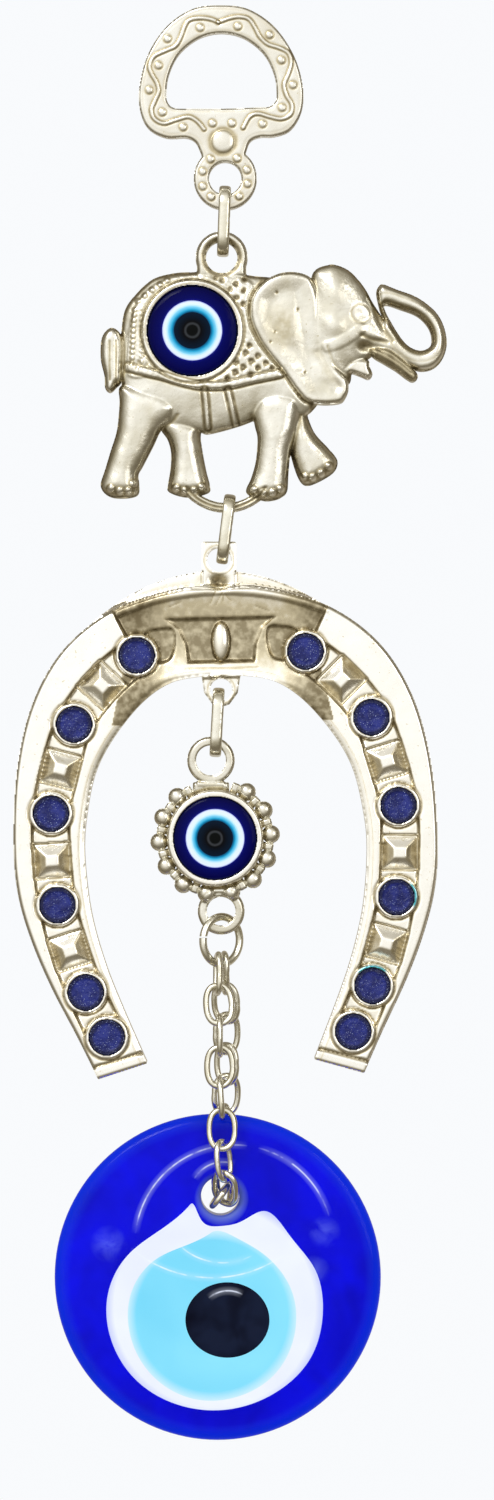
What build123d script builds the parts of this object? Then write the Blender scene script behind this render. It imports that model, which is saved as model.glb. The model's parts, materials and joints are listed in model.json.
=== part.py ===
from build123d import *
import os
from math import atan2, cos, degrees, hypot, radians, sin

# Evil eye wall hanging: hanger, elephant, horseshoe, eye medallion, double chain, glass eye.
# Millimetres. X to the right, Z up, front faces -Y. The origin is the point at the top
# of the hanger's opening where the nail sits.

# Split strip rings: (top x, top z, bottom x, bottom z)
RING_W = 6.2            # outer width, front to back
RING_T = 1.0            # strip thickness
RING_STRIP = 1.8        # strip width
UPPER_RING = (0.66, -23.38, 0.26, -34.35)
MIDDLE_RING = (1.45, -70.85, 0.10, -81.62)
LOWER_RING = (-0.30, -100.60, -0.90, -111.30)

# Hanger plate
HANGER_T = 2.0
EYE_X, EYE_Z = 0.66, -22.32
EYE_R, EYE_HOLE_R = 4.85, 2.49

# Elephant
LUG_X, LUG_Z, LUG_R, LUG_HOLE_R = 0.10, -34.45, 4.0, 2.43
ELEPHANT_BACK, ELEPHANT_FRONT = 1.6, -1.4
BEAD_X, BEAD_Z, BEAD_R = -4.40, -45.85, 6.8
ARC_X, ARC_Z, ARC_R_IN, ARC_R_OUT, ARC_T = 0.77, -65.4, 6.8, 8.3, 1.6

# Horseshoe, drawn about its top lug hole and turned by SHOE_TURN
SHOE_X, SHOE_Z, SHOE_TURN = -0.30, -81.0, -1.35
SHOE_BACK, SHOE_FRONT, CHANNEL_Y = 2.4, -2.4, -1.2
TOP_HOLE_R, LOW_HOLE_R, LUG_HALF = 1.85, 1.7, 1.1
LOW_HOLE_X, LOW_HOLE_Z = 0.03, -100.93
DOT_R, DOT_CUP_R = 2.65, 3.3
CHANNEL_W, PYRAMID_BASE, PYRAMID_TIP, PYRAMID_H = 5.85, 5.4, 1.7, 1.2
ARM_CENTRES = [(12.95, -14.4), (18.4, -18.9), (22.8, -24.75), (25.1, -31.55), (26.66, -38.35),
               (26.7, -45.6), (26.0, -52.4), (24.3, -59.5), (22.0, -65.9), (18.9, -72.85)]
CUP_PLACES = (0, 2, 4, 6, 8, 9)     # the rest of ARM_CENTRES carry pyramids
SLOT_W = 0.25                       # width of the split in a ring
THROUGH = 3                         # depth that cuts right through a casting

# Medallion
MED_X, MED_Z, MED_BEAD_R, MED_RIM_R = -0.90, -123.75, 6.3, 7.4
BALL_R, BALL_RING_R, BALLS = 1.25, 8.6, 14
MED_TOP_X, MED_TOP_Z, MED_TOP_R, MED_TOP_HOLE_R = -1.54, -111.8, 3.65, 2.3
MED_LOW_X, MED_LOW_Z, MED_LOW_R, MED_LOW_HOLE_R = 0.03, -135.0, 3.6, 2.2

# Chain ring and links
CHAIN_RING_X, CHAIN_RING_Z, CHAIN_RING_R, CHAIN_RING_WIRE = 0.06, -139.5, 3.65, 0.6
CHAIN_RING_TURN, STRAND_SWING, RING_GAP = 40, 18, 0.25
LINK_L, LINK_W, LINK_WIRE, LINK_GAP = 6.94, 4.9, 1.0, 0.15
HOLE_LINK_X, HOLE_LINK_Z, HOLE_LINK_TURN = -0.15, -178.75, 52
# Each link: lean front to back, sway sideways, turn about its own length (degrees)
FRONT_LINKS = [(14, 0, 98), (11, -4, 0), (7, 0, 90), (5, 0, 0), (6, -4, 90), (8, 0, 0),
               (0, -6, 60), (-34, 0, -30)]
BACK_LINKS = [(-14, 0, 98), (-11, -3, -24), (-7, 0, 30), (-5, 0, -40), (-6, 2, 22),
              (-8, 0, -75), (0, 4, -15), (31, -1, 58)]

# Glass eye
GLASS_X, GLASS_Z, GLASS_R = -0.50, -191.25, 25.1
GLASS_MID_T, GLASS_RIM_T = 5.5, 3.5
HOLE_X, HOLE_Z, HOLE_R = -0.12, -178.70, 2.95


def slab(face, back, front):
    """Extrude a face drawn in X and Z from depth back to depth front (front is lower Y)."""
    return extrude(Plane.XZ.offset(-back) * face, amount=back - front)


def disc(r, x, z, back, front):
    return slab(Pos(x, z) * Circle(r), back, front)


def smooth(points):
    return make_face(Spline(*points, periodic=True))


def straight(points):
    return make_face(Polyline(*points, close=True))


def save(shape, name):
    shape.label = name
    export_step(shape, f"parts/{name}.step")


def eye_layers(x, z, radii, back, front, depth, prefix, names):
    """A round resin eye: a blue body with three nested colour layers let into its face."""
    body = disc(radii[0], x, z, back, front)
    body = fillet(body.edges().group_by(Axis.Y)[0], 0.4) - disc(radii[1], x, z, front + depth, front)
    save(body, f"{prefix}_{names[0]}")
    for outer, inner, name in zip(radii[1:], list(radii[2:]) + [0], names[1:]):
        layer = disc(outer, x, z, front + depth, front)
        if inner:
            layer -= disc(inner, x, z, front + depth, front)
        save(layer, f"{prefix}_{name}")


def strip_ring(spec, name):
    """Oval ring bent from strip, its ends meeting with a small gap at the back."""
    top_x, top_z, low_x, low_z = spec
    length = hypot(top_x - low_x, top_z - low_z)
    outer = SlotOverall(length, RING_W, rotation=90)
    inner = SlotOverall(length - 2 * RING_T, RING_W - 2 * RING_T, rotation=90)
    ring = extrude(Plane.YZ * (outer - inner), amount=RING_STRIP / 2, both=True)
    ring = fillet(ring.edges().filter_by(GeomType.LINE), 0.25)
    ring -= Pos(0, RING_W / 2, 0.6) * Rot(20, 0, 0) * Box(RING_STRIP * 2, 2.6, SLOT_W)
    lean = degrees(atan2(top_x - low_x, top_z - low_z))
    save(Pos((top_x + low_x) / 2, 0, (top_z + low_z) / 2) * Rot(0, lean, 0) * ring, name)


def make_hanger():
    plate = smooth([(0.1, 4.3), (6.6, 2.6), (11.2, -2.4), (12.8, -8.6), (11.9, -13.2), (9.2, -15.6),
                    (6.0, -15.9), (4.3, -16.8), (3.7, -18.4), (0.3, -19.4), (-3.1, -18.4),
                    (-3.6, -16.9), (-5.2, -16.1), (-8.6, -15.9), (-11.4, -13.6), (-12.6, -8.6),
                    (-11.0, -2.4), (-6.4, 2.6)])
    arch = Pos(0.1, -8.5) * Circle(8.5) & Pos(0.1, -5.75) * Rectangle(17.2, 11.5)
    arch += Pos(0.1, -10.0) * RectangleRounded(16.9, 3.0, 1.45) + Pos(0.1, -9.3) * Rectangle(16.9, 1.4)
    body = slab(plate, HANGER_T / 2, -HANGER_T / 2)
    body += disc(EYE_R, EYE_X, EYE_Z, HANGER_T / 2, -HANGER_T / 2)
    body -= slab(arch, THROUGH, -THROUGH)
    body -= disc(EYE_HOLE_R, EYE_X, EYE_Z, THROUGH, -THROUGH)
    body += disc(1.75, 0.3, -16.7, 0, -HANGER_T / 2 - 0.35)
    dots = [(-3.2, 0.8), (2.6, 1.0), (-8.2, -0.9), (7.5, -0.3), (-9.6, -5.0), (9.3, -4.2), (-11.0, -8.8),
            (11.1, -8.0), (-9.0, -12.2), (9.4, -11.5), (-5.8, -14.5), (6.4, -14.0), (-1.3, -13.9),
            (1.7, -13.9), (-1.6, -19.4), (2.5, -19.3), (-2.8, -21.3), (4.0, -21.1), (-2.8, -23.6),
            (4.1, -23.2), (-1.5, -25.2), (2.8, -25.1)]
    for x, z in dots:
        body += disc(0.6, x, z, 0, -HANGER_T / 2 - 0.25)
    save(body, "hanger")


def make_elephant():
    back, front = ELEPHANT_BACK, ELEPHANT_FRONT
    body = straight([(-14.8, -54.0), (-15.2, -46.5), (-14.8, -42.8), (-13.0, -40.0), (-10.5, -37.8),
                     (-7.5, -36.9), (-4.5, -36.6), (5.2, -37.2), (9.0, -36.4), (12.0, -36.5),
                     (15.0, -36.2), (16.5, -35.7), (18.0, -35.7), (19.8, -36.5), (21.3, -38.0),
                     (22.8, -40.0), (25.2, -44.0), (27.2, -47.2), (27.0, -48.2), (23.2, -49.8),
                     (20.2, -52.0), (19.9, -54.5), (19.2, -56.5), (17.5, -57.5), (13.2, -57.6),
                     (10.5, -60.0), (4.8, -59.6), (1.0, -60.9), (-2.6, -61.5), (-9.2, -60.9),
                     (-15.4, -60.0)])
    parts = slab(body, back, front)
    trunk = smooth([(22.9, -40.3), (24.6, -38.6), (27.2, -39.4), (30.6, -40.9), (33.2, -43.2), (34.6, -46.4),
                    (34.5, -49.2), (32.6, -51.5), (30.0, -51.7), (27.4, -50.6), (25.0, -48.8),
                    (23.4, -45.0)])
    loop = smooth([(25.1, -41.9), (27.8, -42.5), (30.4, -43.6), (32.1, -45.6), (32.3, -47.9),
                   (30.7, -48.8), (28.6, -47.9), (26.6, -45.2)])
    parts += slab(trunk, back - 0.4, front + 0.4) - slab(loop, THROUGH, -THROUGH)
    tusk = straight([(22.8, -49.0), (25.5, -48.3), (29.9, -52.0), (29.9, -53.4), (28.8, -53.5),
                     (25.4, -51.2)])
    jaw = straight([(20.0, -49.0), (24.0, -49.0), (22.4, -50.4), (23.2, -52.4), (22.4, -53.1), (20.0, -52.0)])
    tail = smooth([(-16.8, -45.4), (-15.0, -46.4), (-14.8, -49.0), (-15.0, -53.0), (-16.4, -54.2),
                   (-17.5, -54.9), (-18.2, -53.8), (-18.5, -50.0), (-18.2, -46.6)])
    parts += slab(tusk, 0.8, front - 0.4) + slab(jaw, back, front + 0.3) + slab(tail, 1.2, front)
    legs = [
        ([(-15.4, -52.0), (-9.0, -57.5), (-12.0, -66.5), (-12.6, -68.0), (-12.7, -70.7), (-14.2, -71.4),
          (-16.6, -71.4), (-18.1, -70.6), (-18.4, -69.2), (-17.0, -64.0)], back, front - 0.2),
        ([(-9.2, -60.4), (-3.0, -60.4), (-2.6, -65.0), (-1.9, -69.5), (-2.0, -70.8), (-4.5, -71.3),
          (-7.2, -71.1), (-8.2, -70.0), (-7.6, -65.5)], back, front + 0.9),
        ([(4.9, -57.0), (11.2, -57.0), (10.6, -65.0), (10.3, -70.0), (9.4, -71.3), (8.0, -71.8),
          (5.6, -71.6), (4.0, -70.4), (5.1, -67.0), (5.6, -62.0)], back, front - 0.2),
        ([(9.8, -57.4), (13.2, -57.5), (14.5, -61.5), (16.5, -63.8), (17.8, -65.6), (17.4, -67.4),
          (15.6, -68.7), (13.4, -69.4), (12.2, -68.8), (11.2, -66.0), (10.0, -63.0)], back, front + 0.9),
    ]
    for points, rear, face in legs:
        parts += slab(straight(points), rear, face)
    lug = Pos(LUG_X, LUG_Z) * Circle(LUG_R) + Pos(LUG_X, LUG_Z - 2.2) * Rectangle(2 * LUG_R, 4.4)
    parts += slab(lug, 1.2, -1.2)
    band = Pos(ARC_X, ARC_Z) * (Circle(ARC_R_OUT) - Circle(ARC_R_IN))
    band &= Pos(ARC_X, ARC_Z - 7.5) * Rectangle(12.4, 7.0)
    parts += slab(band, ARC_T / 2, -ARC_T / 2)
    parts -= disc(LUG_HOLE_R, LUG_X, LUG_Z, THROUGH, -THROUGH)
    ear = [(4.3, -42.0), (5.2, -38.6), (8.5, -37.1), (12.2, -37.6), (15.3, -39.6), (16.2, -43.5),
           (15.9, -47.0), (17.2, -51.0), (19.3, -53.2), (19.2, -55.8), (16.8, -57.0), (13.2, -56.9),
           (10.4, -54.0), (7.0, -50.0), (4.8, -46.0)]
    hollow = [(11.2 + 0.86 * (x - 11.2), -47.5 + 0.9 * (z + 47.5)) for x, z in ear]
    parts += slab(smooth(ear), 0, front - 1.2) - slab(smooth(hollow), front - 0.7, front - 2)
    blanket = smooth([(-14.6, -51.8), (-9.0, -52.6), (-3.5, -54.4), (3.0, -53.6), (8.6, -52.8),
                      (5.6, -49.4), (4.0, -44.0), (3.4, -38.8), (-2.0, -37.4), (-8.5, -38.2),
                      (-12.8, -42.0), (-14.3, -47.0)])
    parts += slab(blanket, 0, front - 0.35)
    for x0, z0, x1, z1 in [(-2.6, -54.0, -1.8, -60.6), (1.2, -54.0, 2.6, -60.0)]:
        strap = Pos((x0 + x1) / 2, (z0 + z1) / 2) * Rot(0, 0, degrees(atan2(x1 - x0, z0 - z1)))
        parts += slab(strap * Rectangle(1.0, 6.6), 0, front - 0.35)
    parts += disc(7.8, BEAD_X, BEAD_Z, 0, front - 1.0) + disc(1.3, 21.5, -43.2, 0, front - 0.5)
    parts -= disc(BEAD_R, BEAD_X, BEAD_Z, front + 0.6, front - 3)
    save(parts, "elephant")
    eye_layers(BEAD_X, BEAD_Z, (BEAD_R, 4.6, 3.7, 2.8), front + 0.6, front - 1.3, 0.8, "elephant_eye",
               ("blue", "white", "light_blue", "pupil"))


def shoe_place(shape):
    return Pos(SHOE_X, 0, SHOE_Z) * Rot(0, SHOE_TURN, 0) * shape


def make_horseshoe():
    outer = [(5.2, -4.2), (10.3, -5.3), (16.7, -7.5), (22.6, -11.6), (26.9, -16.9), (30.1, -24.0),
             (32.0, -33.0), (32.6, -43.5), (32.0, -51.0), (30.1, -58.0), (27.2, -65.2), (23.4, -72.9)]
    inner = [(3.0, -17.8), (7.9, -18.7), (12.4, -21.7), (16.8, -26.9), (19.7, -32.2), (21.2, -38.6),
             (21.7, -44.8), (20.9, -53.5), (19.0, -61.2), (16.5, -68.1)]
    heel_out, heel_in = (20.4, -79.3), (12.8, -77.1)
    mirror_out = [(-x, z) for x, z in outer]
    mirror_in = [(-x, z) for x, z in inner]
    edge = Spline(*([(-heel_out[0], heel_out[1])] + mirror_out[::-1] + [(0, -3.8)] + outer + [heel_out]))
    hole = Spline(*([heel_in] + inner[::-1] + [(0, -17.7)] + mirror_in + [(-heel_in[0], heel_in[1])]))
    face = make_face([edge, Line(heel_out, heel_in), hole,
                      Line((-heel_in[0], heel_in[1]), (-heel_out[0], heel_out[1]))])
    body = slab(face, SHOE_BACK, SHOE_FRONT)
    flange = Pos(0, -40) * Ellipse(31.8, 38.4) & Pos(0, -14) * Rectangle(60, 28)
    flange -= Pos(0, -45) * Ellipse(21.5, 27.3)
    body += slab(flange, SHOE_BACK, SHOE_BACK - 1.6)
    for side in (-1, 1):
        angle = -side * 16.2
        bar = Pos(side * 16.3, -79.2) * Rot(0, 0, angle) * Rectangle(8.0, 2.0)
        body += slab(bar, SHOE_BACK, SHOE_FRONT)
    # Channel with cups and pyramids along both arms
    for side in (-1, 1):
        path = Spline(*[(side * x, z) for x, z in ARM_CENTRES])
        body -= slab(make_face(trace(path, CHANNEL_W).face().outer_wire()), CHANNEL_Y, SHOE_FRONT - 2)
        for index, (x, z) in enumerate(ARM_CENTRES):
            if index in CUP_PLACES:
                body += disc(DOT_CUP_R, side * x, z, 0, SHOE_FRONT - 0.3)
            else:
                x0, z0 = ARM_CENTRES[index - 1]
                x1, z1 = ARM_CENTRES[index + 1]
                place = Pos(side * x, z) * Rot(0, 0, degrees(atan2(side * (x1 - x0), z0 - z1)))
                base = Plane.XZ.offset(-CHANNEL_Y) * (place * Rectangle(PYRAMID_BASE, PYRAMID_BASE))
                tip = Plane.XZ.offset(PYRAMID_H - CHANNEL_Y) * (place * Rectangle(PYRAMID_TIP, PYRAMID_TIP))
                body += loft([base, tip])
    # Toe panel recess with its pointed oval boss
    panel = straight([(-8.4, -8.9), (8.4, -8.9), (5.2, -12.6), (4.6, -15.8), (-4.6, -15.8), (-5.2, -12.6)])
    body -= slab(panel, CHANNEL_Y, SHOE_FRONT - 2)
    body += slab(Pos(0, -12.5) * Ellipse(1.45, 3.1), 0, SHOE_FRONT + 0.2)
    # Hanging lugs, kept forward of the flat back
    lug = Pos(0, -1.6) * Rectangle(5.3, 8.9)
    body += slab(lug, LUG_HALF, -LUG_HALF) - disc(TOP_HOLE_R, 0, 0, THROUGH, -THROUGH)
    body -= disc(1.4, 0, -3.4, 1.2, -THROUGH)
    for side in (-1, 1):
        for number, index in enumerate(CUP_PLACES, 1):
            x, z = ARM_CENTRES[index]
            body -= disc(DOT_R, side * x, z, CHANNEL_Y, SHOE_FRONT - 2)
            dot = shoe_place(disc(DOT_R, side * x, z, CHANNEL_Y, SHOE_FRONT - 0.1))
            save(dot, f"enamel_{'left' if side < 0 else 'right'}_{number}")
    body = shoe_place(body)
    tip = straight([(-3.1, -98.0), (3.1, -98.0), (2.6, -101.4), (1.3, -103.2), (0.0, -103.6), (-1.3, -103.2),
                    (-2.6, -101.4)])
    body += slab(tip, LUG_HALF, -LUG_HALF)
    body -= disc(LOW_HOLE_R, LOW_HOLE_X, LOW_HOLE_Z, THROUGH, -THROUGH)
    save(body, "horseshoe")


def make_medallion():
    back, front = 1.4, -1.4
    body = disc(MED_RIM_R, MED_X, MED_Z, back, front - 0.9)
    for step in range(BALLS):
        angle = radians(4 + 360 / BALLS * step)
        x, z = MED_X + BALL_RING_R * cos(angle), MED_Z + BALL_RING_R * sin(angle)
        near = radians(4 + 360 / BALLS * (step + 0.5))
        cx, cz = MED_X + 8.1 * cos(near), MED_Z + 8.1 * sin(near)
        top = abs(degrees(angle) - 90) < 20
        low = abs(degrees(angle) - 274) < 9
        if not (top or low):
            body += Pos(x, 0, z) * Sphere(BALL_R)
        link = Pos(cx, cz) * Rot(0, 0, degrees(near)) * Rectangle(1.5, 1.3)
        body += slab(link, 0.8, -0.9)
    for x, z, r, hole, half in ((MED_TOP_X, MED_TOP_Z, MED_TOP_R, MED_TOP_HOLE_R, 1.0),
                                (MED_LOW_X, MED_LOW_Z, MED_LOW_R, MED_LOW_HOLE_R, 0.6)):
        toward = 1 if z < MED_Z else -1
        body += slab(Pos(x, z + toward * (r + 0.6)) * Rectangle(5.6, 1.8), half - 0.1, 0.1 - half)
        body += chamfer(disc(r, x, z, half, -half).edges(), 0.3)
        body -= disc(hole, x, z, THROUGH, -THROUGH)
    body -= disc(MED_BEAD_R, MED_X, MED_Z, 0.4, -4)
    save(body, "medallion")
    eye_layers(MED_X, MED_Z, (MED_BEAD_R, 4.5, 3.5, 2.75), 0.4, front - 1.2, 0.8, "medallion_eye",
               ("blue", "white", "light_blue", "pupil"))


def make_link():
    """Oval wire link about the origin, long way along Z, wide way along X."""
    bend = (LINK_W - LINK_WIRE) / 2
    half = (LINK_L - LINK_W) / 2
    torus = Rot(90, 0, 0) * Torus(bend, LINK_WIRE / 2)
    upper = torus & Pos(0, 0, 5) * Box(20, 20, 10)
    lower = torus & Pos(0, 0, -5) * Box(20, 20, 10)
    link = Pos(0, 0, half) * upper + Pos(0, 0, -half) * lower
    for side in (-1, 1):
        link += Pos(side * bend, 0, 0) * Cylinder(LINK_WIRE / 2, 2 * half)
    return link


def link_axes(lean, sway, turn):
    up = Vector(sin(radians(sway)) * cos(radians(lean)), sin(radians(lean)),
                cos(radians(sway)) * cos(radians(lean))).normalized()
    across = Vector(1, 0, 0)
    across = (across - up * across.dot(up)).normalized()
    other = up.cross(across)
    return up, across * cos(radians(turn)) + other * sin(radians(turn))


def make_strand(link, start_side, angles, prefix):
    """Walk down one strand from the chain ring, each link caught in the one above."""
    ring_turn, swing = radians(CHAIN_RING_TURN), radians(STRAND_SWING)
    reach = CHAIN_RING_R - CHAIN_RING_WIRE - LINK_WIRE / 2 - RING_GAP
    side = reach * sin(swing) * start_side
    top = Vector(CHAIN_RING_X + side * cos(ring_turn), side * sin(ring_turn),
                 CHAIN_RING_Z - reach * cos(swing))
    for number, step in enumerate(angles, 1):
        up, across = link_axes(*step)
        centre = top - up * ((LINK_L - LINK_WIRE) / 2)
        place = Plane(origin=centre, x_dir=across, z_dir=up)
        save(place.location * link, f"{prefix}_link_{number}")
        if number < len(angles):
            bottom = top - up * (LINK_L - LINK_WIRE)
            between = (up + link_axes(*angles[number])[0]).normalized()
            top = bottom + between * (LINK_WIRE + LINK_GAP)


def make_chain():
    ring = Rot(90, 0, 0) * Torus(CHAIN_RING_R, CHAIN_RING_WIRE)
    ring -= Pos(-CHAIN_RING_R, 0, 0.6) * Box(2.4, 2.4, SLOT_W)
    save(Pos(CHAIN_RING_X, 0, CHAIN_RING_Z) * Rot(0, 0, CHAIN_RING_TURN) * ring, "chain_ring")
    link = make_link()
    make_strand(link, -1, FRONT_LINKS, "front")
    make_strand(link, 1, BACK_LINKS, "back")
    turn = radians(HOLE_LINK_TURN)
    place = Plane(origin=(HOLE_LINK_X, 0, HOLE_LINK_Z), x_dir=(cos(turn), 0, sin(turn)), z_dir=(0, -1, 0))
    save(place.location * link, "hole_link")


def make_glass():
    mid, rim = GLASS_MID_T / 2, GLASS_RIM_T / 2
    soft = rim - 0.15
    half = make_face([Line((0, -mid), (0, mid)),
                      ThreePointArc((0, mid), (GLASS_R / 2, mid - (mid - rim) / 4), (GLASS_R - soft, rim)),
                      ThreePointArc((GLASS_R - soft, rim), (GLASS_R, 0), (GLASS_R - soft, -rim)),
                      ThreePointArc((GLASS_R - soft, -rim), (GLASS_R / 2, -mid + (mid - rim) / 4), (0, -mid))])
    body = Pos(GLASS_X, 0, GLASS_Z) * revolve(half, Axis.Y)
    body -= disc(HOLE_R, HOLE_X, HOLE_Z, 5, -5)
    mouth = [edge for edge in body.edges()
             if edge.bounding_box().size.X < 2.2 * HOLE_R and edge.length > 5 * HOLE_R]
    body = fillet(mouth, 0.8)
    # Nested colour layers pressed into the front
    white = smooth([(-4.7, -179.9), (-9.0, -183.6), (-14.2, -187.6), (-17.3, -193.5), (-16.9, -200.5),
                    (-13.0, -206.9), (-6.5, -210.7), (1.0, -211.4), (8.2, -208.9), (13.5, -203.9),
                    (15.6, -197.0), (14.5, -190.0), (10.5, -184.6), (6.6, -180.9), (2.9, -182.6),
                    (-0.1, -183.2), (-3.0, -182.3)])
    light = smooth([(-1.5, -184.2), (-5.0, -186.0), (-10.0, -188.3), (-13.6, -193.0), (-13.9, -200.0),
                    (-10.4, -206.3), (-4.0, -209.8), (2.6, -209.4), (8.4, -205.8), (11.3, -199.8),
                    (10.8, -193.0), (6.8, -187.7), (2.2, -184.9)])
    pupil = Pos(1.0, -197.6) * Ellipse(6.45, 5.8)
    white_cut = slab(white, -1.2, -4)
    light_cut = slab(light, -1.6, -4)
    pupil_cut = slab(pupil, -2.0, -4)
    save(body - white_cut, "glass_body")
    save((body & white_cut) - light_cut, "glass_white")
    save((body & light_cut) - pupil_cut, "glass_light_blue")
    save(body & pupil_cut, "glass_pupil")


os.makedirs("parts", exist_ok=True)
make_hanger()
strip_ring(UPPER_RING, "upper_ring")
make_elephant()
strip_ring(MIDDLE_RING, "middle_ring")
make_horseshoe()
strip_ring(LOWER_RING, "lower_ring")
make_medallion()
make_chain()
make_glass()
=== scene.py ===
import bpy
import bmesh
import json
import math
import numpy as np
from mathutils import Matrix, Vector

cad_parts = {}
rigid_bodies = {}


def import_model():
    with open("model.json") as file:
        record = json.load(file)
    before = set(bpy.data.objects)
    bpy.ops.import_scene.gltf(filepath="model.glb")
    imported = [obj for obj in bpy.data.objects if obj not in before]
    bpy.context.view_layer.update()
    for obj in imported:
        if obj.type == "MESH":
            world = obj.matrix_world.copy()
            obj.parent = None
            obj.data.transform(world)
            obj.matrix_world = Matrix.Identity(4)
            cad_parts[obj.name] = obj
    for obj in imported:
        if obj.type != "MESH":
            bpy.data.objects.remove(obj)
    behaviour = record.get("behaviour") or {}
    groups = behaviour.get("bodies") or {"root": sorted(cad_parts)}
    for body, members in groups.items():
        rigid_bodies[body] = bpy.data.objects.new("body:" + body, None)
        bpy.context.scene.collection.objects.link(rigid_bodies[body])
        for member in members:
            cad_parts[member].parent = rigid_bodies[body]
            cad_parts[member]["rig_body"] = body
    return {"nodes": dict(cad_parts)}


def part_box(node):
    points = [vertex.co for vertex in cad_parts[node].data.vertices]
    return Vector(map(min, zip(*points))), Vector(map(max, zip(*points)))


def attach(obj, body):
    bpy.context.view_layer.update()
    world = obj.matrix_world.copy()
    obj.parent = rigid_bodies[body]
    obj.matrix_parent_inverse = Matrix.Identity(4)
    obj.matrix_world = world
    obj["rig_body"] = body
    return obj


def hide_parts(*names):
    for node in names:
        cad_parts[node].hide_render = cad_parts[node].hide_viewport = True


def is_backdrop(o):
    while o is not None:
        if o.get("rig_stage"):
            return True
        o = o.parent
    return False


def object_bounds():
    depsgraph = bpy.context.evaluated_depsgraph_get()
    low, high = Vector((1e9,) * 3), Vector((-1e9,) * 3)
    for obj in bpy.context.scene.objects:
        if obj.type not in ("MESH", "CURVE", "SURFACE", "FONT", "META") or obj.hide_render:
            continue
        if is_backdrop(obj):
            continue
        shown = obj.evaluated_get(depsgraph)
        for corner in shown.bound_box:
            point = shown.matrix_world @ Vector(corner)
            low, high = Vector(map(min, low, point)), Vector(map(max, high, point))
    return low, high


# The evil eye hanging, dressed for the render. The castings are reliefs: a height map in front
# of a flat back, in millimetres, X to the right and Z up as in the frame.

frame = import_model()
NODES = frame["nodes"]
CAD_BOX = [list(corner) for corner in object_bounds()]
MM = 0.001


# ---------------------------------------------------------------- outlines

def unit(value):
    return np.clip(value, 0, 1)


def ease(t):
    """A soft start and end on the way from 0 to 1."""
    return t * t * (3 - 2 * t)


def curve_points(points, closed=True, steps=6):
    """Points on a smooth curve through the given ones (Catmull-Rom)."""
    pts = np.array(points, float)
    count = len(pts)
    spans = count if closed else count - 1
    out = []
    for i in range(spans):
        if closed:
            a, b, c, d = (pts[(i + k) % count] for k in (-1, 0, 1, 2))
        else:
            a, b, c, d = pts[max(i - 1, 0)], pts[i], pts[i + 1], pts[min(i + 2, count - 1)]
        for t in np.arange(steps) / steps:
            out.append(0.5 * (2 * b + (c - a) * t + (2 * a - 5 * b + 4 * c - d) * t * t
                              + (3 * b - a - 3 * c + d) * t ** 3))
    if not closed:
        out.append(pts[-1])
    return np.array(out)


class Grid:
    """A square grid in X and Z that measures distances to outlines."""

    def __init__(self, low, high, cell):
        self.cell = cell
        self.xs = np.arange(low[0], high[0] + cell, cell)
        self.zs = np.arange(low[1], high[1] + cell, cell)
        self.X, self.Z = np.meshgrid(self.xs, self.zs)

    def window(self, x0, x1, z0, z1):
        i0, i1 = np.searchsorted(self.zs, [z0, z1])
        j0, j1 = np.searchsorted(self.xs, [x0, x1])
        return slice(max(i0 - 1, 0), i1 + 1), slice(max(j0 - 1, 0), j1 + 1)

    def path(self, points, closed=False, smooth=True, margin=3.0):
        """Distance to a line through the points, no more than margin."""
        pts = curve_points(points, closed) if smooth else np.array(points, float)
        ends = np.roll(pts, -1, axis=0) if closed else pts[1:]
        field = np.full(self.X.shape, margin)
        for (ax, az), (bx, bz) in zip(pts, ends):
            win = self.window(min(ax, bx) - margin, max(ax, bx) + margin,
                              min(az, bz) - margin, max(az, bz) + margin)
            x, z = self.X[win] - ax, self.Z[win] - az
            dx, dz = bx - ax, bz - az
            t = unit((x * dx + z * dz) / max(dx * dx + dz * dz, 1e-9))
            np.minimum(field[win], np.hypot(x - t * dx, z - t * dz), out=field[win])
        return field

    def area(self, points, smooth=True, margin=3.5):
        """Signed distance to a closed outline, negative inside."""
        pts = curve_points(points) if smooth else np.array(points, float)
        field = self.path(pts, closed=True, smooth=False, margin=margin)
        inside = np.zeros(self.X.shape, bool)
        for (ax, az), (bx, bz) in zip(pts, np.roll(pts, -1, axis=0)):
            if az == bz:
                continue
            rows = slice(*np.searchsorted(self.zs, sorted((az, bz))))
            z = self.Z[rows]
            inside[rows] ^= self.X[rows] < ax + (z - az) / (bz - az) * (bx - ax)
        return np.where(inside, -field, field)

    def dist(self, x, z):
        return np.hypot(self.X - x, self.Z - z)

    def circle(self, x, z, r):
        return self.dist(x, z) - r

    def box(self, x, z, wide, tall, turn=0.0, corner=0.0):
        c, s = math.cos(math.radians(turn)), math.sin(math.radians(turn))
        u = np.abs((self.X - x) * c + (self.Z - z) * s) - wide / 2 + corner
        v = np.abs((self.Z - z) * c - (self.X - x) * s) - tall / 2 + corner
        return np.hypot(np.maximum(u, 0), np.maximum(v, 0)) + np.minimum(np.maximum(u, v), 0) - corner


def blur(field, cells):
    """Gaussian blur by a width in cells, along both axes."""
    reach = max(1, int(3 * cells))
    weights = np.exp(-0.5 * (np.arange(-reach, reach + 1) / cells) ** 2)
    weights /= weights.sum()
    for axis in (0, 1):
        padded = np.pad(field, [(reach, reach) if a == axis else (0, 0) for a in (0, 1)], mode="edge")
        total = np.zeros_like(field)
        size = field.shape[axis]
        for k, w in enumerate(weights):
            total += w * np.take(padded, np.arange(k, k + size), axis=axis)
        field = total
    return field


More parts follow.
